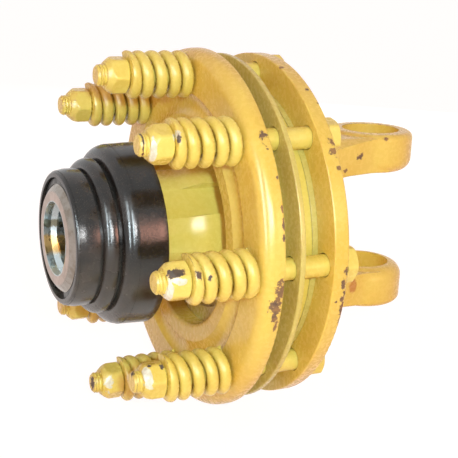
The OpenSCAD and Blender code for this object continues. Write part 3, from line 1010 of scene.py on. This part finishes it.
YOKE_CHIPS: tuple[Chip, ...] = (
    Chip((-75.7, -99.6, -8.2), (1.2, 1.2, 2.0)),
    Chip((-74.4, -100.0, -1.1), (1.2, 1.2, 2.6), 1.3),
    Chip((-73.9, -99.0, -12.9), (1.0, 1.2, 2.0)),
    Chip((-75.3, -98.6, -16.2), (1.1, 1.2, 1.4)),
    Chip((-78.5, -98.4, -17.4), (0.8, 1.2, 1.0)),
    Chip((-74.1, -97.8, -20.2), (1.2, 1.4, 2.2)),
    Chip((-74.1, -97.0, -24.2), (1.1, 1.4, 2.6)),
    Chip((-73.9, -95.9, -28.6), (1.0, 1.4, 2.8)),
    Chip((-80.6, -28.8, 95.7), (1.6, 1.6, 1.0)),
    Chip((-76.4, -50.0, 86.6), (1.3, 1.3, 1.1)),
    Chip((-73.6, -59.0, 80.4), (1.0, 1.2, 1.0)),
    Chip((-75.4, -77.6, 63.0), (1.5, 1.6, 1.8), 1.6),
    Chip((-76.4, -80.8, 58.8), (1.7, 1.8, 2.2), 1.4),
    Chip((-74.8, -85.7, 51.5), (1.1, 1.2, 1.3), 1.3),
    Chip((-4.8, -24.8, 52.3), (1.7, 1.2, 0.9)),
    Chip((-23.9, -26.5, 42.4), (2.0, 1.2, 1.5)),
    Chip((-21.7, -26.0, 43.4), (1.1, 1.2, 1.0)),
    Chip((-33.8, -28.8, 35.3), (1.7, 1.2, 1.0)),
)
# Painted shade: a soft red-tinted shadow spot on the lower arm, beside the flange
YOKE_PAINTED_SHADE: tuple[Chip, ...] = (Chip((-20.6, -25.7, -38.0), (3.0, 3.0, 4.4), 0.25),)
FASTENER_CHIPS: tuple[Chip, ...] = (
    Chip((-170.2, -96.0, 6.4), (5.6, 2.7, 2.3), 0.7),
    Chip((-159.1, -100.6, 5.9), (1.5, 1.6, 2.2)),
    Chip((-153.4, -101.2, 4.2), (0.9, 1.2, 1.7)),
    Chip((-160.5, -74.0, 67.5), (1.1, 1.8, 1.6)),
    Chip((-176.6, -63.0, 63.0), (0.7, 6.4, 6.4), 0.8),
    Chip((-170.1, -66.1, -53.0), (1.5, 1.6, 1.0)),
    Chip((-163.0, -68.0, -54.0), (1.3, 1.5, 1.1)),
    Chip((-177.7, -63.1, -57.8), (1.2, 1.8, 1.8)),
    Chip((-178.2, -1.0, -88.6), (0.9, 3.2, 3.6)),
)
FASTENER_PRIMER: tuple[Chip, ...] = (
    Chip((-168.6, -98.1, 2.9), (4.8, 2.3, 2.0), 0.6),
    Chip((-172.0, -93.0, -3.0), (1.5, 7.6, 7.6), 0.3),
    Chip((-172.0, -69.5, 60.5), (1.4, 6.0, 7.0), 0.4),
    Chip((-171.4, -69.0, -58.5), (2.2, 6.0, 6.5), 0.5),
    Chip((-161.0, -72.5, 69.0), (1.8, 2.6, 2.6), 0.8),
    Chip((-170.6, -8.6, -86.0), (2.6, 1.6, 5.4), 0.9),
)


def dress(piece: bpy.types.Object, material: bpy.types.Material) -> None:
    """Gives a piece one material.

    Args:
        piece: Object with a mesh.
        material: Its finish.
    """
    piece.data.materials.clear()
    piece.data.materials.append(material)


def make_piece(name: str, mesh: bmesh.types.BMesh, body: Body) -> bpy.types.Object:
    """Turns a finished mesh into a piece that rides on a body.

    Args:
        name: Name of the piece.
        mesh: The mesh, in place in the part's frame.
        body: Body that it rides on.

    Returns:
        The new object.
    """
    data = bpy.data.meshes.new(name)
    bmesh.ops.recalc_face_normals(mesh, faces=mesh.faces)
    mesh.to_mesh(data)
    mesh.free()
    data.shade_smooth()
    data.set_sharp_from_angle(angle=SHARP_ANGLE)
    piece = bpy.data.objects.new(name, data)
    bpy.context.scene.collection.objects.link(piece)
    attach(piece, body.value)
    LOG.info("%s rides on %s, %d faces", name, body.value, len(data.polygons))
    return piece


def skin_rings(mesh: bmesh.types.BMesh, rings: list[list[Vector]]) -> None:
    """Joins rings of points into a tube with closed ends.

    Args:
        mesh: Mesh to add to.
        rings: Rings with the same number of points each.
    """
    rows = [[mesh.verts.new(point) for point in ring] for ring in rings]
    count = len(rows[0])
    for low, high in zip(rows, rows[1:]):
        for k in range(count):
            after = (k + 1) % count
            mesh.faces.new((low[k], low[after], high[after], high[k]))
    mesh.faces.new(rows[0][::-1])
    mesh.faces.new(rows[-1])


def ring_at(
    turned: Matrix, station: float, columns: int, reach: Callable[[float], float], turn: float = 0.0
) -> list[Vector]:
    """Makes one ring of points round an axis along X.

    Args:
        turned: Where the axis lies in the part's frame.
        station: Place along the axis, in metres.
        columns: Number of points.
        reach: Gives the distance from the axis, in metres, at an angle in radians.
        turn: Angle of the first point from the outward direction, in radians.

    Returns:
        The points, in the part's frame.
    """
    ring = []
    for k in range(columns):
        angle = math.tau * k / columns
        out = reach(angle)
        place = angle + turn
        ring.append(turned @ Vector((station, -out * math.sin(place), out * math.cos(place))))
    return ring


def smooth_step(value: float) -> float:
    """Rises from 0 to 1 with level ends.

    Args:
        value: Any number, held between 0 and 1.

    Returns:
        The eased value.
    """
    t = min(1.0, max(0.0, value))
    return t * t * (3.0 - 2.0 * t)


@dataclass
class Coil:
    """Compression spring along X with closed, ground ends.

    Attributes:
        low: Station of the end where the wire starts, in metres.
        high: Station of the other end, in metres.
        mean_r: Radius of the wire's centre line, in metres.
        wire: Diameter of the wire, in metres.
        open_turns: Turns between the two closed ones.
        start: Angle where the wire starts, in degrees.
        steps: Rings of points in a turn.
        sides: Points in a ring.
        closed_pitch: Rise of a closed turn, in diameters of the wire.
        ease: Turns to either side over which the wire's rise is evened out.
        ease_points: Points to either side at which the rise is taken for that.
    """

    low: float
    high: float
    mean_r: float
    wire: float
    open_turns: float
    start: float
    steps: int = 44
    sides: int = 20
    closed_pitch: float = 1.015
    ease: float = 0.16
    ease_points: int = 4

    @property
    def turns(self) -> float:
        """All turns, with the closed one at each end."""
        return self.open_turns + 2.0

    def station(self, turn: float) -> float:
        """Gives the station of the centre line after some turns.

        Args:
            turn: Turns from the start.

        Returns:
            Distance from the low end, in metres, along a right-hand coil.
        """
        total = abs(self.high - self.low)
        closed = self.wire * self.closed_pitch
        rise = (total - 2.0 * closed) / self.open_turns
        if turn < 1.0:
            return turn * closed
        if turn > self.open_turns + 1.0:
            return total - (self.turns - turn) * closed
        return closed + (turn - 1.0) * rise

    def eased(self, turn: float) -> float:
        """Averages the station over a short stretch, so that the wire bends smoothly.

        Args:
            turn: Turns from the start.

        Returns:
            Distance from the low end, in metres.
        """
        steps = range(-self.ease_points, self.ease_points + 1)
        spread = [turn + self.ease * k / self.ease_points for k in steps]
        places = [min(self.turns, max(0.0, place)) for place in spread]
        return sum(self.station(place) for place in places) / len(places)

    def mesh(self, turned: Matrix) -> bmesh.types.BMesh:
        """Builds the wire.

        Args:
            turned: Where the spring's axis lies in the part's frame.

        Returns:
            The mesh.
        """
        total = abs(self.high - self.low)
        sign = 1.0 if self.high > self.low else -1.0
        count = int(self.turns * self.steps)
        rings = []
        for k in range(count + 1):
            turn = self.turns * k / count
            middle = self.eased(turn)
            angle = math.radians(self.start) + sign * math.tau * turn
            out = Vector((0.0, math.cos(angle), math.sin(angle)))
            ring = []
            for j in range(self.sides):
                side = math.tau * j / self.sides
                reach = self.mean_r + self.wire / 2.0 * math.cos(side)
                height = min(total, max(0.0, middle + self.wire / 2.0 * math.sin(side)))
                point = Vector((self.low + sign * height, 0.0, 0.0)) + out * reach
                ring.append(turned @ point)
            rings.append(ring)
        mesh = bmesh.new()
        skin_rings(mesh, rings)
        return mesh


@dataclass
class HexBar:
    """Six-sided body along X with corners turned off at its second face, as on nuts and bolt heads.

    Attributes:
        flats: Size across the flats, in metres.
        low: Station of the first face, in metres.
        high: Station of the second face, in metres.
        turn: Angle of a corner from the outward direction, in degrees.
        dome: Length of a rounded cone at the first face, in metres, or 0 for none.
        dome_r: Radius of that cone's small end, in metres.
        columns: Points in a section.
        face_share: Diameter of the turned face, in shares of the size across the flats.
        corner_soft: How far the corners are rounded off, in metres.
        chamfer_share: Depth of the turned-off corners, in shares of the size across the flats.
        chamfer_angle: Slope of the turned-off corners, in radians.
        chamfer_rings: Sections over that depth.
        dome_rings: Sections over the rounded cone.
    """

    flats: float
    low: float
    high: float
    turn: float
    dome: float = 0.0
    dome_r: float = 0.0
    columns: int = 96
    face_share: float = 0.87
    corner_soft: float = 0.28 * MM
    chamfer_share: float = 0.09
    chamfer_angle: float = math.radians(30)
    chamfer_rings: int = 7
    dome_rings: int = 16

    def radius(self, angle: float, depth: float, from_low: float) -> float:
        """Gives the outline of a section.

        Args:
            angle: Angle from a corner, in radians.
            depth: Distance from the turned face, in metres.
            from_low: Distance from the first face, in metres.

        Returns:
            Distance from the axis, in metres.
        """
        sixth = math.tau / 6.0
        flat = self.flats / 2.0 / math.cos((angle % sixth) - sixth / 2.0)
        corner = self.flats / 2.0 / math.cos(sixth / 2.0) - self.corner_soft
        cone = self.flats / 2.0 * self.face_share + depth / math.tan(self.chamfer_angle)
        if from_low < self.dome:
            rise = math.sin(math.pi / 2.0 * from_low / self.dome)
            return min(flat, self.dome_r + (corner - self.dome_r) * rise)
        return min(flat, corner, cone)

    def rings(self) -> list[tuple[float, float]]:
        """Places the sections.

        Returns:
            Station of each section and its depth under the turned face, in metres.
        """
        chamfer = self.flats * self.chamfer_share
        length = self.high - self.low
        inner = [chamfer * k / self.chamfer_rings for k in range(self.chamfer_rings + 1)]
        deep = self.flats
        low = [(self.low, deep)]
        if self.dome > 0.0:
            low = [(self.low + self.dome * k / self.dome_rings, deep) for k in range(self.dome_rings + 1)]
        high = [(self.high - d, d) for d in reversed(inner)]
        middle = [(self.low + length / 2.0, deep)]
        return low + middle + high

    def add_to(self, mesh: bmesh.types.BMesh, turned: Matrix) -> None:
        """Adds the body to a mesh.

        Args:
            mesh: Mesh to add to.
            turned: Where the axis lies in the part's frame.
        """
        rings = []
        for station, depth in self.rings():
            outline = partial(self.radius, depth=depth, from_low=station - self.low)
            rings.append(ring_at(turned, station, self.columns, outline, math.radians(self.turn)))
        skin_rings(mesh, rings)


@dataclass
class ThreadedRod:
    """Bolt shank along X with a rolled thread at its tip.

    Attributes:
        tip: Station of the tip, in metres.
        end: Station where the shank ends, in metres.
        radius: Radius over the thread, in metres.
        threaded: Length of thread that is modelled, in metres.
        pitch: Pitch of the thread, in metres.
        depth: Depth of the thread, in metres.
        point: Size of the tip's bevel, in metres.
        columns: Points in a section.
        sections: Sections in a turn of the thread.
    """

    tip: float
    end: float
    radius: float
    threaded: float
    pitch: float = 1.75 * MM
    depth: float = 0.55 * MM
    point: float = 1.3 * MM
    columns: int = 40
    sections: int = 10

    def radius_at(self, station: float, angle: float) -> float:
        """Gives the distance of the surface from the axis.

        Args:
            station: Distance from the tip, in metres.
            angle: Angle about the axis, in radians.

        Returns:
            The radius, in metres.
        """
        phase = (station / self.pitch - angle / math.tau) % 1.0
        ridge = 0.5 - 0.5 * math.cos(math.tau * phase)
        fade = smooth_step((self.threaded - station) / self.pitch)
        reach = self.radius - self.depth * (1.0 - ridge) * fade
        return min(reach, self.radius - self.point + station)

    def add_to(self, mesh: bmesh.types.BMesh, turned: Matrix) -> None:
        """Adds the shank to a mesh.

        Args:
            mesh: Mesh to add to.
            turned: Where the axis lies in the part's frame.
        """
        steps = int(self.threaded / self.pitch * self.sections)
        stations = [self.threaded * k / steps for k in range(steps + 1)] + [self.end - self.tip]
        rings = []
        for station in stations:
            outline = partial(self.radius_at, station)
            rings.append(ring_at(turned, self.tip + station, self.columns, outline))
        skin_rings(mesh, rings)


@dataclass
class ClampSet:
    """The eight bolts with their springs and nuts.

    Attributes:
        count: Number of bolts.
        circle: Radius of the bolt circle, in metres.
        seat: Station of the spring seats on the pressure plate, in metres.
        under_nut: Station of the nuts' rear faces, in metres.
        nut_front: Station of the nuts' front faces, in metres.
        tip: Station of the bolts' tips, in metres.
        head: Station of the bolt heads' outer faces, in metres.
        flange: Station of the flange's rear face, in metres.
        spring_r: Outer radius of a spring, in metres.
        lift: Travel of the pressure plate, in metres; not used.
        wire: Diameter of a spring's wire, in metres.
        open_turns: Turns of a spring between its closed ones.
        coil_start: Angle where the top spring's wire starts, in degrees.
        flats: Size of nuts and heads across the flats, in metres.
        head_height: Height of the bolt heads, in metres.
        bolt_r: Radius of the bolts, in metres.
        thread_seen: Length of thread at the tips, in metres.
        dome: Length of the nuts' rounded fronts, in metres.
        dome_r: Radius of those fronts' small ends, in metres.
        nut_turns: Angle of each nut, in degrees.
        pieces: The built pieces.
    """

    count: int
    circle: float
    seat: float
    under_nut: float
    nut_front: float
    tip: float
    head: float
    flange: float
    spring_r: float
    lift: float
    wire: float = 6.5 * MM
    open_turns: float = 3.0
    coil_start: float = 60.0
    flats: float = 18.5 * MM
    head_height: float = 7.5 * MM
    bolt_r: float = 6.0 * MM
    thread_seen: float = 8.0 * MM
    dome: float = 5.6 * MM
    dome_r: float = 7.1 * MM
    nut_turns: tuple[float, ...] = (35.0, 12.0, 33.0, 5.0, 45.0, 20.0, 50.0, 19.0)
    pieces: list[bpy.types.Object] = field(default_factory=list)

    @classmethod
    def from_frame(cls, frame: dict[str, Any]) -> "ClampSet":
        """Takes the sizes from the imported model.


        Returns:
            The clamp set.
        """
        spring_low, spring_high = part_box("spring_1")
        nuts_low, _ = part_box("spring_nuts")
        bolts_low, bolts_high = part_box("spring_bolts")
        lift = next(j for j in frame["joints"] if j["name"] == "plate_lift")
        names = [name for name in frame["nodes"] if name.startswith("spring_") and name[-1].isdigit()]
        return cls(
            count=len(names),
            circle=(spring_low.z + spring_high.z) / 2.0,
            seat=spring_high.x,
            under_nut=spring_low.x,
            nut_front=nuts_low.x,
            tip=bolts_low.x,
            head=bolts_high.x,
            flange=bolts_high.x - cls.head_height,
            spring_r=(spring_high.y - spring_low.y) / 2.0,
            lift=lift["range_m"][1],
        )

    def at_bolt(self, k: int) -> Matrix:
        """Gives the place of bolt k, counted from the top towards the near side.

        Args:
            k: Number of the bolt, from 0.

        Returns:
            Matrix from the bolt's own axis to the part's frame.
        """
        turn = Matrix.Rotation(math.tau * k / self.count, 4, "X")
        return turn @ Matrix.Translation((0.0, 0.0, self.circle))

    def build(self) -> None:
        """Builds every spring, bolt and nut."""
        for k in range(self.count):
            self.build_spring(k)
            self.build_bolt(k)
            self.build_nut(k)

    def build_spring(self, k: int) -> None:
        """Builds spring k.

        Args:
            k: Number of the bolt, from 0.
        """
        mean_r = self.spring_r - self.wire / 2.0
        start = self.coil_start - 360.0 * k / self.count
        coil = Coil(self.seat, self.under_nut, mean_r, self.wire, self.open_turns, start)
        spring = make_piece(f"coil_{k + 1}", coil.mesh(self.at_bolt(k)), Body.YOKE)
        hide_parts(f"spring_{k + 1}")
        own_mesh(spring)
        self.pieces.append(spring)

    def build_bolt(self, k: int) -> None:
        """Builds bolt k with its thread and head.

        Args:
            k: Number of the bolt, from 0.
        """
        mesh = bmesh.new()
        ThreadedRod(self.tip, self.flange, self.bolt_r, self.thread_seen).add_to(mesh, self.at_bolt(k))
        HexBar(self.flats, self.flange, self.head, turn=0.0).add_to(mesh, self.at_bolt(k))
        bolt = make_piece(f"bolt_{k + 1}", mesh, Body.YOKE)
        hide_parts("spring_bolts")
        self.pieces.append(bolt)

    def build_nut(self, k: int) -> None:
        """Builds nut k.

        Args:
            k: Number of the bolt, from 0.
        """
        mesh = bmesh.new()
        turn = self.nut_turns[k]
        bar = HexBar(self.flats, self.nut_front, self.under_nut, turn, self.dome, self.dome_r)
        bar.add_to(mesh, self.at_bolt(k))
        nut = make_piece(f"nut_{k + 1}", mesh, Body.YOKE)
        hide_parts("spring_nuts")
        self.pieces.append(nut)

    def dress(self, enamel: Enamel) -> None:
        """Paints every piece.

        Args:
            enamel: The paint of the small pieces.
        """
        material = enamel.material()
        for piece in self.pieces:
            dress(piece, material)


@dataclass
class ReturnSpring:
    """Wire spring that pushes the lock collar forward.

    Attributes:
        low: Station of its seat in the collar, in metres.
        high: Station of the hub's shoulder, in metres.
        outer_r: Outer radius, in metres.
        travel: Travel of the collar, in metres; not used.
        wire: Diameter of the wire, in metres.
        open_turns: Turns between the closed ones.
    """

    low: float
    high: float
    outer_r: float
    travel: float
    wire: float = 1.8 * MM
    open_turns: float = 2.0

    @classmethod
    def from_frame(cls, frame: dict[str, Any]) -> "ReturnSpring":
        """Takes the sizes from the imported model.


        Returns:
            The return spring.
        """
        low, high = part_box("collar_spring")
        slide = next(j for j in frame["joints"] if j["name"] == "collar_slide")
        return cls(low.x, high.x, (high.y - low.y) / 2.0, slide["range_m"][1])

    def build(self) -> None:
        """Builds the spring."""
        mean_r = self.outer_r - self.wire / 2.0
        coil = Coil(self.high, self.low, mean_r, self.wire, self.open_turns, start=0.0, steps=64, sides=12)
        spring = make_piece("return_coil", coil.mesh(Matrix.Identity(4)), Body.HUB)
        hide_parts("collar_spring")
        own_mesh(spring)
        dress(spring, TurnedMetal("Spring steel").material())


@dataclass
class Hub:
    """The hub's forging, with the broad bevel round its end face.

    Attributes:
        node: The carried-over solid.
        face_r: Radius of the flat end face, in metres.
        bevel: Length of the bevel along the shaft, in metres.
        nose_r: Radius of the nose, in metres.
        edge: Size of the carried-over solid's edge break, in metres.
        bore: Radius of the bore's mouth, in metres.
        near: How close a point has to be to count as one of the edge's own, in metres.
    """

    node: bpy.types.Object
    face_r: float = 25.9 * MM
    bevel: float = 2.75 * MM
    nose_r: float = 30.0 * MM
    edge: float = 1.2 * MM
    bore: float = 20.2 * MM
    near: float = 0.05 * MM

    def build(self) -> None:
        """Builds the hub and dresses it."""
        mesh = bmesh.new()
        mesh.from_mesh(self.node.data)
        bmesh.ops.remove_doubles(mesh, verts=mesh.verts, dist=SEAM)
        end = min(vert.co.x for vert in mesh.verts)
        for vert in mesh.verts:
            radius = math.hypot(vert.co.y, vert.co.z)
            depth = vert.co.x - end
            if depth < self.near and abs(radius - self.nose_r + self.edge) < self.near:
                vert.co.y *= self.face_r / radius
                vert.co.z *= self.face_r / radius
            elif abs(depth - self.edge) < self.near and abs(radius - self.nose_r) < self.near:
                vert.co.x = end + self.bevel
        piece = make_piece("hub_forging", mesh, Body.HUB)
        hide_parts("splined_hub")
        barrel = Enamel("Barrel enamel", *FRESH, cast=MACHINED, wear=0.0)
        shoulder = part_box("collar_spring")[1].x
        dress(piece, HubFinish("Hub", barrel, shoulder, self.face_r, self.bore).material())


@dataclass
class PlainNodes:
    """The carried-over solids and their finishes.

    Attributes:
        nodes: Objects by node name.
    """

    nodes: dict[str, bpy.types.Object]

    def dress(self) -> None:
        """Gives every solid that stays in view its finish."""
        plate = Enamel("Plate enamel", cast=MACHINED, chips=PLATE_CHIPS)
        # The yoke's enamel carries a spot of red-tinted painted shade
        yoke = Enamel("Yoke enamel", chips=YOKE_CHIPS, painted_shade_spots=YOKE_PAINTED_SHADE)
        # The middle plate and the driver disc take the darker paint, partly painted shade for the gaps
        middle = Enamel("Middle plate enamel", *SHADED, cast=MACHINED, wear=0.3)
        driver = Enamel("Driver disc enamel", *SHADED, cast=MACHINED, wear=0.0)
        ring = TurnedMetal("Blackened steel", (0.05, 0.047, 0.045), (0.03, 0.028, 0.027))
        bush = TurnedMetal("Bearing bronze", (0.50, 0.33, 0.13), (0.38, 0.23, 0.09), 0.28, 0.42)
        finishes: dict[str, bpy.types.Material] = {
            "pressure_plate": plate.material(),
            "flange_yoke": yoke.material(),
            "intermediate_plate": middle.material(),
            "driver_disc": driver.material(),
            "snap_ring": ring.material(),
            "lock_collar": BlackCoat().material(),
            "hub_bush": bush.material(),
        }
        # The linings' paint is the darker copy too, partly painted shade for the gaps
        spray = Enamel("Lining enamel", *SHADED, cast=MACHINED, wear=0.0)
        lining = LiningFinish("Friction lining", spray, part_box("lining_1")[1].y).material()
        steel = TurnedMetal().material()
        for name, node in self.nodes.items():
            if name.startswith("lining"):
                dress(node, lining)
            elif name in finishes:
                dress(node, finishes[name])
            else:
                dress(node, steel)
            self.smooth(node)
            LOG.info("%s dressed", name)

    def smooth(self, node: bpy.types.Object) -> None:
        """Shades curved faces smoothly across their seams and keeps sharp edges.

        Args:
            node: Solid to shade.
        """
        stored = node.data.attributes.get("custom_normal")
        if stored is not None:
            node.data.attributes.remove(stored)
        node.data.shade_smooth()
        weld = node.modifiers.new("seams", "WELD")
        weld.merge_threshold = SEAM
        split = node.modifiers.new("edges", "EDGE_SPLIT")
        split.split_angle = SPLIT_ANGLE


@dataclass
class Camera:
    """The photograph's viewpoint, solved from the rims of the round plates.

    Attributes:
        azimuth: Angle of the viewpoint about the upright, in degrees.
        elevation: Angle above the horizon, in degrees.
        roll: Turn of the picture, in degrees.
        distance: Distance from the flange's friction face on the axis, in metres.
        lens: Focal length on the sensor, in millimetres.
        sensor: Width of the sensor, in millimetres.
        aim: Where that point lies right of and above the picture's middle, in metres.
        target: That point, in metres.
        clip: Nearest and farthest distance that is seen, in metres.
    """

    azimuth: float = -26.51
    elevation: float = 15.285
    roll: float = 2.659
    distance: float = 0.635805
    lens: float = 83.857
    sensor: float = 36.0
    aim: Span = (0.010815, 0.003821)
    target: Point = (-0.082, 0.0, 0.0)
    clip: Span = (0.01, 50.0)

    def build(self) -> None:
        """Makes the camera and sets it as the scene's own."""
        a = math.radians(self.azimuth)
        e = math.radians(self.elevation)
        r = math.radians(self.roll)
        back = Vector((math.sin(a) * math.cos(e), -math.cos(a) * math.cos(e), math.sin(e)))
        level = Vector((math.cos(a), math.sin(a), 0.0))
        upright = back.cross(level)
        right = level * math.cos(r) + upright * math.sin(r)
        up = upright * math.cos(r) - level * math.sin(r)
        place = Matrix((right, up, back)).transposed().to_4x4()
        aside, above = self.aim
        place.translation = Vector(self.target) + back * self.distance - right * aside - up * above
        data = bpy.data.cameras.new("camera")
        data.sensor_width = self.sensor
        data.lens = self.lens
        data.clip_start, data.clip_end = self.clip
        camera = bpy.data.objects.new("camera", data)
        camera.matrix_world = place
        bpy.context.scene.collection.objects.link(camera)
        bpy.context.scene.camera = camera


# Colours of the lights
COOL: Colour = (0.70, 1.0, 0.88)
BLUISH: Colour = (0.80, 0.94, 1.0)


@dataclass(frozen=True)
class SoftBox:
    """One square studio light that faces the part.

    Attributes:
        name: Name of the light.
        at: Place, in metres.
        width: Width, in metres.
        height: Height, in metres.
        power: Power, in watts.
        colour: Colour of the light.
        fills: Whether it lights the part.
        shines: Whether it shows as a highlight.
    """

    name: str
    at: Point
    width: float
    height: float
    power: float
    colour: Colour = WHITE
    fills: bool = True
    shines: bool = True

    def build(self, target: Vector) -> None:
        """Makes the light.

        Args:
            target: Point that it faces.
        """
        data = bpy.data.lights.new(self.name, "AREA")
        data.shape = "RECTANGLE"
        data.size = self.width
        data.size_y = self.height
        data.energy = self.power
        data.color = self.colour
        light = bpy.data.objects.new(self.name, data)
        light.visible_diffuse = self.fills
        light.visible_glossy = self.shines
        light.location = self.at
        light.rotation_euler = (target - Vector(self.at)).to_track_quat("-Z", "Y").to_euler()
        bpy.context.scene.collection.objects.link(light)


@dataclass
class Studio:
    """White room with a pale floor and soft boxes.

    Attributes:
        floor_level: Height of the floor, in metres.
        middle: Middle of the part.
        ambient: Light of the room.
        ambient_tint: Colour of that light.
        floor_keep: Share of the floor that stays white under the shadow.
        floor_glow: Brightness of that white share.
        floor_reach: Radius of the floor, in metres.
        floor_sides: Sides of the floor.
        floor_colour: Colour that the floor throws back.
        floor_rough: Roughness of the floor.
        lights: The soft boxes.
    """

    floor_level: float
    middle: Vector
    ambient: float = 0.52
    ambient_tint: Colour = (1.0, 0.55, 0.44)
    floor_keep: float = 0.80
    floor_glow: float = 1.17
    floor_reach: float = 6.0
    floor_sides: int = 64
    floor_colour: Colour = (0.95, 0.70, 0.58)
    floor_rough: float = 0.9
    lights: tuple[SoftBox, ...] = (
        SoftBox("top_box", (-0.30, -0.45, 1.10), 1.0, 0.8, 1.5, (1.0, 0.62, 0.42), shines=False),
        SoftBox("lamp", (-0.35, -0.70, 0.25), 0.06, 0.05, 4.0, COOL, shines=False),
        SoftBox("left_box", (-1.06, -0.46, 0.25), 0.40, 0.75, 1.6, (1.0, 0.81, 0.60), shines=False),
        SoftBox("fill", (0.22, -1.00, 0.10), 0.50, 0.40, 1.1, (1.0, 0.42, 0.26), shines=False),
        SoftBox("back_box", (0.60, 0.95, 0.16), 0.80, 0.60, 7.0, (0.84, 1.0, 0.82), shines=False),
        SoftBox("glint", (-0.35, -0.70, 0.25), 0.20, 0.17, 4.6, fills=False),
        SoftBox("left_strip", (-0.98, -0.36, 0.25), 0.08, 0.62, 9.5, BLUISH, fills=False),
        SoftBox("front_strip", (-0.60, -0.70, 0.30), 0.06, 0.52, 7.5, BLUISH, fills=False),
        SoftBox("warm_card", (0.30, -1.03, 0.28), 0.34, 0.36, 4.4, (1.0, 0.46, 0.32), fills=False),
    )

    def build(self) -> None:
        """Makes the room, the floor and the lights."""
        self.build_world()
        self.build_floor()
        for light in self.lights:
            light.build(self.middle)
        bpy.context.scene.view_settings.view_transform = "Standard"

    def seen_directly(self, w: Wiring) -> Socket:
        """Finds rays from the camera and those that metal and glass send on.

        Args:
            w: Wiring of the world or of the floor's material.

        Returns:
            Socket that is 1 for those rays.
        """
        path = w.add("ShaderNodeLightPath").outputs
        mirrored = w.math("MAXIMUM", path["Is Glossy Ray"], path["Is Transmission Ray"])
        return w.math("MAXIMUM", path["Is Camera Ray"], mirrored)

    def build_world(self) -> None:
        """Makes a white room that lights the part softly."""
        world = bpy.data.worlds.new("studio")
        world.use_nodes = True
        bpy.context.scene.world = world
        w = Wiring(world.node_tree)
        background = world.node_tree.nodes["Background"]
        seen = self.seen_directly(w)
        w.fill(background, Color=w.mix(seen, self.ambient_tint, WHITE))
        w.fill(background, Strength=w.blend(seen, self.ambient, 1.0))

    def build_floor(self) -> None:
        """Makes the floor, which keeps a pale shadow."""
        mesh = bmesh.new()
        bmesh.ops.create_circle(mesh, cap_ends=True, segments=self.floor_sides, radius=self.floor_reach)
        data = bpy.data.meshes.new("floor")
        mesh.to_mesh(data)
        mesh.free()
        floor = bpy.data.objects.new("floor", data)
        floor.location = (0.0, 0.0, self.floor_level)
        bpy.context.scene.collection.objects.link(floor)
        floor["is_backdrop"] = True
        material, w, shader = new_material("Pale floor")
        w.fill(shader, Base_Color=self.floor_colour, Roughness=self.floor_rough)
        glow = w.fill(w.add("ShaderNodeEmission"), Strength=self.floor_glow)
        share = w.math("MULTIPLY", self.seen_directly(w), self.floor_keep)
        both = w.add("ShaderNodeMixShader")
        w.feed(both.inputs[0], share)
        w.feed(both.inputs[1], shader.outputs[0])
        w.feed(both.inputs[2], glow.outputs[0])
        w.fill(material.node_tree.nodes["Material Output"], Surface=both.outputs[0])
        dress(floor, material)


def write_sizes() -> None:
    """Brings the view layer up to date.
    """
    bpy.context.view_layer.update()


def main() -> None:
    """Builds and dresses the part in its studio."""
    logging.basicConfig(level=logging.INFO, format="%(name)s: %(message)s")
    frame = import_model()
    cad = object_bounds()
    low, high = cad
    Camera().build()
    Studio(floor_level=low.z - FLOOR_GAP, middle=(low + high) / 2.0).build()
    PlainNodes(frame["nodes"]).dress()
    clamps = ClampSet.from_frame(frame)
    clamps.build()
    paint = Enamel(
        "Fastener enamel", *FRESH, cast=0.02 * MM, scale=0.75, chips=FASTENER_CHIPS, pale=FASTENER_PRIMER
    )
    clamps.dress(paint)
    Hub(frame["nodes"]["splined_hub"]).build()
    ReturnSpring.from_frame(frame).build()
    write_sizes()


if __name__ == "__main__":
    main()
